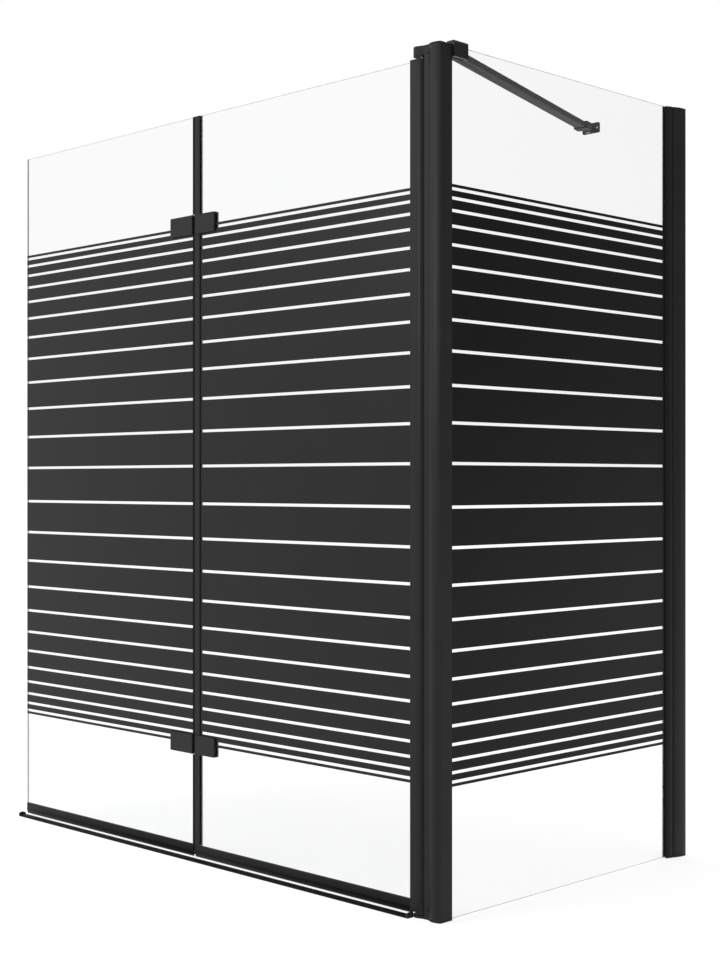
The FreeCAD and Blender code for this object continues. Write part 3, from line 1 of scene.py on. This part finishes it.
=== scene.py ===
import bpy
import bmesh
import json
import math
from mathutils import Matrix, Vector


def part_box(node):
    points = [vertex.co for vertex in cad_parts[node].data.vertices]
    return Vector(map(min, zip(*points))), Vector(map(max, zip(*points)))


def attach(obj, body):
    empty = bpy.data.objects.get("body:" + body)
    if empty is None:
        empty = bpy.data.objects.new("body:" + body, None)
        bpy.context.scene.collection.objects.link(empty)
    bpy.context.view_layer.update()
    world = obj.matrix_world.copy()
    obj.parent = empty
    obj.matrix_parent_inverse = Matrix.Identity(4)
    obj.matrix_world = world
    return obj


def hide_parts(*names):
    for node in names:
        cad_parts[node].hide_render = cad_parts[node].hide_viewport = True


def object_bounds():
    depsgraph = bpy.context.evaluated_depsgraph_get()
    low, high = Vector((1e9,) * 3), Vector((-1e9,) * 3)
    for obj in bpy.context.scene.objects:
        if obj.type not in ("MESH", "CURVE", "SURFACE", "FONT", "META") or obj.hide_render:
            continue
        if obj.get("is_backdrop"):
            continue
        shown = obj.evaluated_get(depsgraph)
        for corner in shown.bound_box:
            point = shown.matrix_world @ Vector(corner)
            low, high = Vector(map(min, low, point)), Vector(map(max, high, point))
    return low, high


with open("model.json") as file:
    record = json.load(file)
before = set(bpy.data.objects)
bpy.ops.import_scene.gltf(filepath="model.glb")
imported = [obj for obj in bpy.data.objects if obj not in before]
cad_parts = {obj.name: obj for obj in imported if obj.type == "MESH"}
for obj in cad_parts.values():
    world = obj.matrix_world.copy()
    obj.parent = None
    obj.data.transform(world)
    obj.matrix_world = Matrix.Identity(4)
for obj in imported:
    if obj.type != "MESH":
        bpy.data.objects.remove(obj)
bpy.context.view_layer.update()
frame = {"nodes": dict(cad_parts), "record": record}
scene = bpy.context.scene
nodes = frame["nodes"]

# Camera: level, 45 degrees round the corner post, at half the screen's height.
# The photograph is 720 by 960, its focal length is 1602 pixels and its horizon lies 2.2 pixels low.

PHOTO_HEIGHT = 960
FOCAL_PIXELS = 1602
HORIZON_DROP = 2.2
SENSOR = 36.0
CAMERA_PLACE = (1.7235, -1.89975, 0.700)
CAMERA_TURN = 45
FARTHEST = 200

camera_data = bpy.data.cameras.new("camera")
camera_data.sensor_fit = "AUTO"
camera_data.sensor_width = SENSOR
camera_data.lens = SENSOR * FOCAL_PIXELS / PHOTO_HEIGHT
camera_data.shift_y = HORIZON_DROP / PHOTO_HEIGHT
camera_data.clip_end = FARTHEST
camera = bpy.data.objects.new("camera", camera_data)
scene.collection.objects.link(camera)
camera.location = CAMERA_PLACE
camera.rotation_euler = (math.radians(90), 0, math.radians(CAMERA_TURN))
scene.camera = camera
scene.view_settings.view_transform = "Standard"


# Light: a soft white studio, a little darker behind the side glass

SHADED_SIDE = (0.7071, 0.7071, 0)
SHADE_FROM = 0.25
SHADE_TO = 1.0
SKY = 1.0
SHADED_SKY = 0.27
KEY_PLACE = (-1.6, -3.4, 2.6)
KEY_TARGET = (-0.3, 0, 0.7)
KEY_SIZE = 2.4
KEY_POWER = 60
FLOOR_REACH = 60
FLOOR_DROP = 0.0006


def studio_world():
    world = bpy.data.worlds.new("studio")
    world.use_nodes = True
    scene.world = world
    tree = world.node_tree
    background = tree.nodes["Background"]
    place = tree.nodes.new("ShaderNodeTexCoord")
    along = tree.nodes.new("ShaderNodeVectorMath")
    along.operation = "DOT_PRODUCT"
    along.inputs[1].default_value = SHADED_SIDE
    spread = tree.nodes.new("ShaderNodeMapRange")
    spread.inputs["From Min"].default_value = SHADE_FROM
    spread.inputs["From Max"].default_value = SHADE_TO
    spread.inputs["To Min"].default_value = SKY
    spread.inputs["To Max"].default_value = SHADED_SKY
    tree.links.new(place.outputs["Generated"], along.inputs[0])
    tree.links.new(along.outputs["Value"], spread.inputs["Value"])
    tree.links.new(spread.outputs["Result"], background.inputs["Strength"])
    background.inputs["Color"].default_value = (1, 1, 1, 1)


def soft_light(name, place, target, size, power):
    data = bpy.data.lights.new(name, "AREA")
    data.shape = "SQUARE"
    data.size = size
    data.energy = power
    lamp = bpy.data.objects.new(name, data)
    scene.collection.objects.link(lamp)
    lamp.location = place
    lamp.rotation_euler = (Vector(target) - Vector(place)).to_track_quat("-Z", "Y").to_euler()


studio_world()
soft_light("key", KEY_PLACE, KEY_TARGET, KEY_SIZE, KEY_POWER)

floor_data = bpy.data.meshes.new("floor")
floor_data.from_pydata(
    [(-FLOOR_REACH, -FLOOR_REACH, 0), (FLOOR_REACH, -FLOOR_REACH, 0),
     (FLOOR_REACH, FLOOR_REACH, 0), (-FLOOR_REACH, FLOOR_REACH, 0)], [], [(0, 1, 2, 3)])
floor = bpy.data.objects.new("floor", floor_data)
scene.collection.objects.link(floor)
floor.location.z = -FLOOR_DROP
floor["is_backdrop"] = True


# Materials. A noise texture mostly lies between NOISE_LOW and NOISE_HIGH, and places are in metres.

NOISE_LOW = 0.3
NOISE_HIGH = 0.7
CLOUD_SCALE = 9
COAT_BUMP = (0.12, 0.0004)
STEEL_BUMP = (0.08, 0.0002)
TURNING_LINES = (-0.0327, -0.0252)
LINE_HALF = 0.0007
LINE_SHADE = 0.35
SEAL_LIP_TOP = 0.0125
SEAL_LIP_SHADE = 0.25
ADAPTER_TIP = 0.6155
ADAPTER_ROOT = 0.6245
ADAPTER_SHADE = 0.4
WALL_EDGE = 0.6515
WALL_EDGE_SHADE = 0.3
FREE_END = -1.1627
FREE_END_SHADE = 0.08


def new_material(name):
    material = bpy.data.materials.new(name)
    material.use_nodes = True
    tree = material.node_tree
    return material, tree, tree.nodes["Principled BSDF"]


def add(tree, kind, **settings):
    node = tree.nodes.new("ShaderNode" + kind)
    for key, setting in settings.items():
        if hasattr(node, key):
            setattr(node, key, setting)
        else:
            node.inputs[key.replace("_", " ")].default_value = setting
    return node


def stretched(tree, scale):
    """Object coordinates in metres, stretched by an own scale for each axis."""
    place = add(tree, "TexCoord")
    mapping = add(tree, "Mapping")
    mapping.inputs["Scale"].default_value = scale
    tree.links.new(place.outputs["Object"], mapping.inputs["Vector"])
    return mapping.outputs["Vector"]


def noise(tree, vector, scale, detail=2.0, roughness=0.5):
    texture = add(tree, "TexNoise")
    texture.inputs["Scale"].default_value = scale
    texture.inputs["Detail"].default_value = detail
    texture.inputs["Roughness"].default_value = roughness
    tree.links.new(vector, texture.inputs["Vector"])
    return texture.outputs["Fac"]


def ramp(tree, value, low, high, first, last):
    """A value between low and high turned into one between first and last."""
    spread = add(tree, "MapRange")
    spread.inputs["From Min"].default_value = low
    spread.inputs["From Max"].default_value = high
    spread.inputs["To Min"].default_value = first
    spread.inputs["To Max"].default_value = last
    tree.links.new(value, spread.inputs["Value"])
    return spread.outputs["Result"]


def blended(tree, value, first, last):
    mix = add(tree, "Mix", data_type="RGBA")
    mix.inputs["A"].default_value = first + (1,)
    mix.inputs["B"].default_value = last + (1,)
    tree.links.new(value, mix.inputs["Factor"])
    return mix.outputs["Result"]


def bumps(tree, shader, height, strength, distance):
    bump = add(tree, "Bump")
    bump.inputs["Strength"].default_value = strength
    bump.inputs["Distance"].default_value = distance
    tree.links.new(height, bump.inputs["Height"])
    tree.links.new(bump.outputs["Normal"], shader.inputs["Normal"])


def coated(name, dark, light, rough, grain, specular, lengthwise=None, change=None):
    """Black coating: slight cloudiness, fine grain, and draw lines along an extrusion.
    change may turn the colour into another one, given the tree and the colour's socket."""
    material, tree, shader = new_material(name)
    even = stretched(tree, (1, 1, 1))
    cloud = noise(tree, even, CLOUD_SCALE, 3)
    colour = blended(tree, ramp(tree, cloud, NOISE_LOW, NOISE_HIGH, 0, 1), dark, light)
    if change:
        colour = change(tree, colour)
    tree.links.new(colour, shader.inputs["Base Color"])
    fine = noise(tree, even, grain, 3, 0.6)
    tree.links.new(ramp(tree, fine, NOISE_LOW, NOISE_HIGH, rough - 0.05, rough + 0.06), shader.inputs["Roughness"])
    height = fine
    if lengthwise:
        lines = noise(tree, stretched(tree, lengthwise), 1, 2)
        total = add(tree, "Math", operation="ADD")
        tree.links.new(fine, total.inputs[0])
        tree.links.new(lines, total.inputs[1])
        height = total.outputs[0]
    bumps(tree, shader, height, *COAT_BUMP)
    shader.inputs["Specular IOR Level"].default_value = specular
    return material


def place_along(tree, axis):
    """The object coordinate along X, Y or Z, in metres."""
    split = add(tree, "SeparateXYZ")
    tree.links.new(add(tree, "TexCoord").outputs["Object"], split.inputs["Vector"])
    return split.outputs[axis]


def darker_where(tree, colour, fact, share):
    """The colour, times the share where the fact is 1."""
    mix = add(tree, "Mix", data_type="RGBA", blend_type="MULTIPLY")
    mix.inputs["B"].default_value = (share, share, share, 1)
    tree.links.new(colour, mix.inputs["A"])
    tree.links.new(fact, mix.inputs["Factor"])
    return mix.outputs["Result"]


def groove_shade_lines(tree, colour):
    """Two narrow lines of painted shade down the turning profile, where its front starts to round, standing in
    for the shade in its small grooves.
    """
    place = place_along(tree, "X")
    for line in TURNING_LINES:
        near = add(tree, "Math", operation="COMPARE")
        near.inputs[1].default_value = line
        near.inputs[2].default_value = LINE_HALF
        tree.links.new(place, near.inputs[0])
        colour = darker_where(tree, colour, near.outputs[0], LINE_SHADE)
    return colour


def limit(tree, axis, operation, place):
    """1 where the object coordinate is under or over the place, for LESS_THAN or GREATER_THAN."""
    node = add(tree, "Math", operation=operation)
    node.inputs[1].default_value = place
    tree.links.new(place_along(tree, axis), node.inputs[0])
    return node.outputs[0]


def dark_lip(tree, colour):
    """The lip of a bottom seal is softer and darker than its channel."""
    return darker_where(tree, colour, limit(tree, "Z", "LESS_THAN", SEAL_LIP_TOP), SEAL_LIP_SHADE)


def dark_tip_and_groove_shade(tree, colour):
    """The adapter's nose is darker at the glass, and painted shade darkens it in the groove
    where it enters the wall profile.
    """
    colour = darker_where(tree, colour, limit(tree, "Y", "LESS_THAN", ADAPTER_TIP), ADAPTER_SHADE)
    # Painted shade in the groove where the nose enters the wall profile.
    return darker_where(tree, colour, limit(tree, "Y", "GREATER_THAN", ADAPTER_ROOT), ADAPTER_SHADE)


def dark_wall_edge(tree, colour):
    """The wall profile is in shade along its last few millimetres to the wall."""
    return darker_where(tree, colour, limit(tree, "Y", "GREATER_THAN", WALL_EDGE), WALL_EDGE_SHADE)


COAT_DARK = (0.0085, 0.0085, 0.009)
COAT_LIGHT = (0.0105, 0.0105, 0.011)
DRAWN_UP = (900, 900, 3)

POST = coated("black_coated_profile", COAT_DARK, COAT_LIGHT, 0.42, 1500, 0.17, DRAWN_UP)
TURNING = coated("black_coated_turning_profile", COAT_DARK, COAT_LIGHT, 0.42, 1500, 0.17, DRAWN_UP, groove_shade_lines)
ADAPTER = coated("black_coated_adapter", COAT_DARK, COAT_LIGHT, 0.42, 1500, 0.15, DRAWN_UP, dark_tip_and_groove_shade)
WALL = coated("black_coated_wall_profile", COAT_DARK, COAT_LIGHT, 0.42, 1500, 0.17, DRAWN_UP, dark_wall_edge)
RAIL = coated("black_coated_rail", (0.0035, 0.0035, 0.0037), (0.005, 0.005, 0.0053), 0.5, 1500, 0.07,
              (3, 900, 900))
FITTING = coated("satin_black_fitting", (0.0085, 0.0085, 0.009), (0.011, 0.011, 0.0115), 0.36, 2200, 0.19)
CAP = coated("moulded_black_plastic", (0.009, 0.009, 0.0095), (0.0125, 0.0125, 0.013), 0.5, 2600, 0.17)
SEAL = coated("soft_black_seal", (0.006, 0.006, 0.006), (0.0085, 0.0085, 0.0085), 0.55, 700, 0.14)
LIP = coated("soft_black_lip", (0.002, 0.002, 0.002), (0.003, 0.003, 0.003), 0.6, 700, 0.05)
BOTTOM_SEAL = coated("black_sealing_profile", (0.0075, 0.0075, 0.008), (0.0095, 0.0095, 0.01), 0.48, 900, 0.12,
                     (3, 700, 700), dark_lip)
PRINT = coated("black_ceramic_print", (0.0082, 0.0082, 0.0087), (0.0096, 0.0096, 0.0101), 0.3, 3200, 0.17)
# The side print is the same print in a darker copy, painted shade for the darker studio light on its side.
SIDE_PRINT = coated("black_ceramic_print_shaded_copy", (0.0052, 0.0052, 0.0055), (0.0062, 0.0062, 0.0065), 0.3, 3200, 0.115)
BAR = coated("satin_black_bar", (0.0055, 0.0055, 0.006), (0.0075, 0.0075, 0.008), 0.5, 2200, 0.08, (3, 3, 900))
BEARING = coated("dark_bearing_plastic", (0.02, 0.02, 0.021), (0.028, 0.028, 0.029), 0.4, 2000, 0.3)
SCREW = coated("blackened_steel", (0.003, 0.003, 0.0032), (0.005, 0.005, 0.0053), 0.3, 2600, 0.2)
# The wall cap screws are given a lighter blackened steel, with more specular, than the other screws.
LIGHT_SCREW = coated("lighter_blackened_steel", (0.03, 0.03, 0.031), (0.045, 0.045, 0.047), 0.3, 2600, 0.5)
BRACKET = coated("black_bracket", (0.0035, 0.0035, 0.0037), (0.005, 0.005, 0.0053), 0.45, 2200, 0.06)


def steel():
    material, tree, shader = new_material("stainless_steel")
    rings = noise(tree, stretched(tree, (40, 40, 2200)), 1, 2)
    tree.links.new(ramp(tree, rings, NOISE_LOW, NOISE_HIGH, 0.2, 0.34), shader.inputs["Roughness"])
    tree.links.new(blended(tree, rings, (0.42, 0.42, 0.43), (0.56, 0.56, 0.57)), shader.inputs["Base Color"])
    shader.inputs["Metallic"].default_value = 1.0
    bumps(tree, shader, rings, *STEEL_BUMP)
    return material


def clear_glass(name, across, clear, end_shade_from=None):
    """Clear glass. Its ground edges, where the normal isn't across the pane, are greener and satin. The level
    ones scatter light, and the upright ones are painted dark, as painted shade for looking along the pane in
    them. The last argument is the place on X from which the pane is painted dark too, as painted shade for
    the free end's dark edge seen through the front."""
    material, tree, shader = new_material(name)
    normal = add(tree, "TexCoord").outputs["Normal"]

    def facing(direction, low, high):
        dot = add(tree, "VectorMath", operation="DOT_PRODUCT")
        dot.inputs[1].default_value = direction
        tree.links.new(normal, dot.inputs[0])
        size = add(tree, "Math", operation="ABSOLUTE")
        tree.links.new(dot.outputs["Value"], size.inputs[0])
        return ramp(tree, size.outputs[0], low, high, 1.0, 0.0)

    edge = facing(across, 0.3, 0.9)
    upright = facing((0, 0, 1), 0.1, 0.7)
    # Painted shade: the upright edges take a dark colour for looking along the pane in them.
    rim = blended(tree, upright, (0.90, 0.94, 0.925), (0.26, 0.32, 0.30))
    mix = add(tree, "Mix", data_type="RGBA")
    mix.inputs["A"].default_value = clear + (1,)
    tree.links.new(edge, mix.inputs["Factor"])
    tree.links.new(rim, mix.inputs["B"])
    colour = mix.outputs["Result"]
    # Painted shade over the pane's free end, for its dark edge seen through the front.
    if end_shade_from:
        colour = darker_where(tree, colour, limit(tree, "X", "LESS_THAN", end_shade_from), FREE_END_SHADE)
    tree.links.new(colour, shader.inputs["Base Color"])
    grind = noise(tree, stretched(tree, (500, 500, 500)), 1, 2)
    rough = add(tree, "Math", operation="MULTIPLY")
    tree.links.new(edge, rough.inputs[0])
    tree.links.new(ramp(tree, grind, NOISE_LOW, NOISE_HIGH, 0.16, 0.3), rough.inputs[1])
    tree.links.new(rough.outputs[0], shader.inputs["Roughness"])
    shader.inputs["IOR"].default_value = 1.5
    tree.links.new(ramp(tree, upright, 0.0, 1.0, 0.3, 1.0), shader.inputs["Transmission Weight"])
    return material


STEEL = steel()
# One glass in two copies: the side glass is given a lighter tint than the front glass, as painted light that offsets
# the darker studio light on its side.
FRONT_GLASS = clear_glass("front_glass", (0, 1, 0), (0.95, 0.96, 0.955), FREE_END)
SIDE_GLASS = clear_glass("side_glass_painted_lighter", (1, 0, 0), (0.995, 0.999, 0.997))


def floor_finish():
    """A white studio floor that is lit from within a little, so its far end has no edge."""
    material, tree, shader = new_material("white_floor")
    cloud = noise(tree, stretched(tree, (1, 1, 1)), 1.5, 2)
    tree.links.new(blended(tree, cloud, (0.34, 0.34, 0.34), (0.36, 0.36, 0.36)), shader.inputs["Base Color"])
    shader.inputs["Roughness"].default_value = 0.9
    shader.inputs["Specular IOR Level"].default_value = 0.0
    shader.inputs["Emission Color"].default_value = (1, 1, 1, 1)
    shader.inputs["Emission Strength"].default_value = 0.75
    return material


floor_data.materials.append(floor_finish())

FINISHES = {
    "post": POST, "rail": RAIL, "fitting": FITTING, "cap": CAP, "seal": SEAL, "bottom_seal": BOTTOM_SEAL,
    "print": PRINT, "bearing": BEARING, "screw": SCREW, "pin": STEEL, "glass": FRONT_GLASS,
}
OWN_FINISHES = {
    "side_glass": SIDE_GLASS, "turning_profile": TURNING, "adapter_profile": ADAPTER,
    "side_glass_print": SIDE_PRINT, "stabiliser_bar": BAR, "bar_socket": BAR, "wall_profile": WALL,
    "wall_bracket": BRACKET, "wall_cap_screws": LIGHT_SCREW, "clamp_grub_screws": FITTING,
}
slots = {item["node"]: item["material_slot"] for item in frame["record"]["subparts"]}
for name, item in nodes.items():
    item.data.materials.clear()
    item.data.materials.append(OWN_FINISHES.get(name, FINISHES[slots[name]]))


# Broken edges: a narrow round on the rigid nodes, as their coating and grinding leave it

EDGE_WIDTHS = {"post": 0.0004, "rail": 0.0004, "fitting": 0.0005, "cap": 0.0005, "glass": 0.0005}
SAME_POINT = 0.000002
EDGE_ANGLE = 50
UNDER_PRINT = -0.00004


def break_edges(item, width):
    weld = item.modifiers.new("weld", "WELD")
    weld.merge_threshold = SAME_POINT
    bevel = item.modifiers.new("edges", "BEVEL")
    bevel.width = width
    bevel.segments = 2
    bevel.limit_method = "ANGLE"
    bevel.angle_limit = math.radians(EDGE_ANGLE)
    bevel.harden_normals = True


for name, item in nodes.items():
    if slots[name] in EDGE_WIDTHS:
        break_edges(item, EDGE_WIDTHS[slots[name]])
    # The glass gives way a little under the print, so that their faces don't lie in one plane
    if slots[name] == "glass":
        thinner = item.modifiers.new("under_the_print", "DISPLACE")
        thinner.mid_level = 0
        thinner.strength = UNDER_PRINT


# Pieces that stand for a CAD node

FLAT_TURN = 0.01
SHARP_TURN = 0.6
SOFT_WIDTHS = {"seal": 0.00015, "bottom_seal": 0.0003}

body_of = {node: body for body, names in frame["record"]["behaviour"]["bodies"].items() for node in names}


def stand_in(piece, node):
    """The piece rides where the node does, hides it and takes its finish."""
    piece.data.materials.clear()
    piece.data.materials.append(OWN_FINISHES.get(node, FINISHES[slots[node]]))
    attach(piece, body_of[node])
    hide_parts(node)


def mesh_object(name, mesh):
    piece = bpy.data.objects.new(name, mesh)
    scene.collection.objects.link(piece)
    return piece


def softened(node, width):
    """A soft piece in the place of its CAD solid, with every sharp edge rounded."""
    shape = bmesh.new()
    shape.from_mesh(nodes[node].data)
    bmesh.ops.remove_doubles(shape, verts=shape.verts, dist=SAME_POINT)
    bmesh.ops.dissolve_limit(shape, angle_limit=FLAT_TURN, verts=shape.verts, edges=shape.edges)
    sharp = [edge for edge in shape.edges if len(edge.link_faces) == 2 and edge.calc_face_angle() > SHARP_TURN]
    bmesh.ops.bevel(shape, geom=sharp, offset=width, segments=2, profile=0.5, affect="EDGES",
                    clamp_overlap=True)
    shape.verts.index_update()
    corners = [vert.co[:] for vert in shape.verts]
    faces = [[vert.index for vert in face.verts] for face in shape.faces]
    shape.free()
    mesh = bpy.data.meshes.new(node + "_soft")
    mesh.from_pydata(corners, [], faces)
    mesh.shade_smooth()
    mesh.set_sharp_from_angle(angle=math.radians(EDGE_ANGLE))
    stand_in(mesh_object(node + "_soft", mesh), node)


for name, slot in slots.items():
    if slot in SOFT_WIDTHS:
        softened(name, SOFT_WIDTHS[slot])


# The seam profile's lip reaches over the gap to the outer glass, but not at the hinges.
# Its outline is a table of steps from the profile's side and from the profile's front or the print's face.

HINGE_ROOM = 0.0375
HINGE_GAP = 0.001
LIP_AT_FRONT = ((0, 0.0006), (-0.0012, 0.0005))
LIP_AT_FACE = ((-0.0066, -0.0006), (-0.0068, -0.0002), (-0.003, -0.0001), (-0.0012, 0.001), (0, 0.001))


def box_of(node):
    low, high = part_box(node)
    return Vector(low), Vector(high)


def seam_lip():
    seam_low, seam_high = box_of("seam_profile")
    lip_low, lip_high = box_of("seam_seal")
    plate_low, plate_high = box_of("inner_hinge_plates")
    face = box_of("outer_glass_print")[0].y
    side = seam_low.x
    spans = ((lip_low.z, plate_low.z - HINGE_GAP), (plate_low.z + HINGE_ROOM, plate_high.z - HINGE_ROOM),
             (plate_high.z + HINGE_GAP, lip_high.z))
    outline = ([(side + along, seam_low.y + across) for along, across in LIP_AT_FRONT]
               + [(side + along, face + across) for along, across in LIP_AT_FACE])
    corners = []
    faces = []
    for bottom, top in spans:
        first = len(corners)
        count = len(outline)
        corners += [(x, y, z) for z in (bottom, top) for x, y in outline]
        faces.append([first + index for index in range(count)])
        faces.append([first + count + index for index in reversed(range(count))])
        for index in range(count):
            after = (index + 1) % count
            faces.append((first + after, first + index, first + count + index, first + count + after))
    mesh = bpy.data.meshes.new("seam_lip")
    mesh.from_pydata(corners, [], faces)
    piece = mesh_object("seam_lip", mesh)
    piece.data.materials.append(LIP)
    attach(piece, body_of["seam_seal"])


seam_lip()


# Screws and pins: turned rings round an axis, with a six-sided socket in the head

SIDES = 24
THREAD_SHARE = 0.7
KEY_SHARE = 0.55
ROUND_SHARE = 0.3
TURNED_EDGE_ANGLE = 35
POST_HEAD = 0.0016
WALL_HEAD = 0.0014
ADAPTER_HEAD = 0.0018
ADAPTER_SHANK = 0.0019
GRUB_HEAD = 0.0025
HINGE_SCREW_RADIUS = 0.005
HINGE_SCREW_SHANK = 0.003
HINGE_SCREW_HEAD = 0.0015
BAR_PIN_RADIUS = 0.003
BAR_PIN_HEAD = 0.0012
BAR_PIN_POINT = 0.0003
PIN_LENGTH = 0.038
PIN_RADIUS = 0.0025
PIN_HEAD = 0.001
PIN_ROUND = 0.0004
PIN_END_SHARE = 0.8


def ring(height, radius, six=False):
    """A ring of points about the Z axis, round or pressed to a hexagon."""
    points = []
    for index in range(SIDES):
        turn = 2 * math.pi * index / SIDES
        reach = radius
        if six:
            reach = radius * math.cos(math.pi / 6) / math.cos((turn % (math.pi / 3)) - math.pi / 6)
        points.append(Vector((reach * math.cos(turn), reach * math.sin(turn), height)))
    return points


def head_rings(radius, height, round_off):
    """The rings of a head whose top is at 0: its side, its rounded rim and its socket."""
    key = radius * KEY_SHARE
    return [
        ring(-height, radius), ring(-round_off, radius),
        ring(-round_off * ROUND_SHARE, radius - round_off * ROUND_SHARE),
        ring(0, radius - round_off), ring(0, key * 1.12), ring(-round_off * ROUND_SHARE, key, True),
        ring(-height * 0.6, key, True), ring(-height * 0.75, key * 0.3),
    ]


def thread_rings(radius, low, high):
    """The shank from low up to high, with fine thread rings."""
    rings = [ring(low, radius * 0.7), ring(low + radius * 0.3, radius)]
    pitch = radius * 0.35
    count = max(1, int((high - low - radius * 0.4) / pitch))
    for index in range(count):
        height = low + radius * 0.35 + index * pitch
        rings += [ring(height, radius * 0.9), ring(height + pitch / 2, radius)]
    return rings


def turned(node, axis, places, rings):
    """All the screws or pins of a node as one piece, with their tops at the places."""
    turn = Vector((0, 0, 1)).rotation_difference(Vector(axis)).to_matrix()
    corners = []
    faces = []
    for place in places:
        first = len(corners)
        for points in rings:
            corners += [Vector(place) + turn @ point for point in points]
        for step in range(len(rings) - 1):
            for index in range(SIDES):
                after = (index + 1) % SIDES
                low = first + step * SIDES
                faces.append((low + index, low + after, low + SIDES + after, low + SIDES + index))
        faces.append([first + index for index in reversed(range(SIDES))])
        faces.append([first + (len(rings) - 1) * SIDES + index for index in range(SIDES)])
    mesh = bpy.data.meshes.new(node + "_turned")
    mesh.from_pydata([tuple(corner) for corner in corners], [], faces)
    mesh.shade_smooth()
    mesh.set_sharp_from_angle(angle=math.radians(TURNED_EDGE_ANGLE))
    stand_in(mesh_object(node + "_turned", mesh), node)


low, high = box_of("post_cap_screws")
radius = (high.x - low.x) / 2
turned("post_cap_screws", (0, -1, 0),
       [((low.x + high.x) / 2, low.y, height) for height in (low.z + radius, high.z - radius)],
       thread_rings(radius * THREAD_SHARE, low.y - high.y, -POST_HEAD) + head_rings(radius, POST_HEAD, 0.0004))

low, high = box_of("wall_cap_screws")
radius = (high.y - low.y) / 2
turned("wall_cap_screws", (1, 0, 0),
       [(high.x, (low.y + high.y) / 2, height) for height in (low.z + radius, high.z - radius)],
       thread_rings(radius * THREAD_SHARE, low.x - high.x, -WALL_HEAD) + head_rings(radius, WALL_HEAD, 0.0003))

low, high = box_of("adapter_screws")
radius = (high.y - low.y) / 2
turned("adapter_screws", (-1, 0, 0),
       [(low.x, (low.y + high.y) / 2, height)
        for height in (low.z + radius, (low.z + high.z) / 2, high.z - radius)],
       thread_rings(ADAPTER_SHANK, low.x - high.x, -ADAPTER_HEAD) + head_rings(radius, ADAPTER_HEAD, 0.0005))

low, high = box_of("clamp_grub_screws")
radius = (high.z - low.z) / 2
turned("clamp_grub_screws", (1, 0, 0),
       [(high.x, side, (low.z + high.z) / 2) for side in (low.y + radius, high.y - radius)],
       thread_rings(radius, low.x - high.x, -GRUB_HEAD) + head_rings(radius, GRUB_HEAD, 0.0002))

for node in ("inner_hinge_screws", "outer_hinge_screws"):
    low, high = box_of(node)
    radius = HINGE_SCREW_RADIUS
    turned(node, (0, 1, 0),
           [(side, high.y, height) for side in (low.x + radius, high.x - radius)
            for height in (low.z + radius, high.z - radius)],
           thread_rings(HINGE_SCREW_SHANK, low.y - high.y, -0.0016) + head_rings(radius, HINGE_SCREW_HEAD, 0.0003))

for node in ("bar_pivot_pin", "bracket_pin"):
    low, high = box_of(node)
    middle = (low + high) / 2
    turned(node, (0, 0, 1), [(middle.x, middle.y, high.z)],
           [ring(low.z - high.z, BAR_PIN_RADIUS - BAR_PIN_POINT),
            ring(low.z - high.z + BAR_PIN_POINT, BAR_PIN_RADIUS), ring(-BAR_PIN_HEAD, BAR_PIN_RADIUS)]
           + head_rings((high.x - low.x) / 2, BAR_PIN_HEAD, 0.0003))

low, high = box_of("hinge_pins")
middle = (low + high) / 2
reach = (high.x - low.x) / 2
pin = [
    ring(-PIN_LENGTH, reach * PIN_END_SHARE), ring(-PIN_LENGTH + PIN_ROUND, reach),
    ring(-PIN_LENGTH + PIN_HEAD, reach), ring(-PIN_LENGTH + PIN_HEAD, PIN_RADIUS),
    ring(-PIN_HEAD, PIN_RADIUS), ring(-PIN_HEAD, reach), ring(-PIN_ROUND, reach),
    ring(0, reach * PIN_END_SHARE), ring(0, reach * 0.3), ring(-0.0003, reach * 0.2),
]
turned("hinge_pins", (0, 0, 1), [(middle.x, middle.y, low.z + PIN_LENGTH), (middle.x, middle.y, high.z)], pin)

low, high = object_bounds()
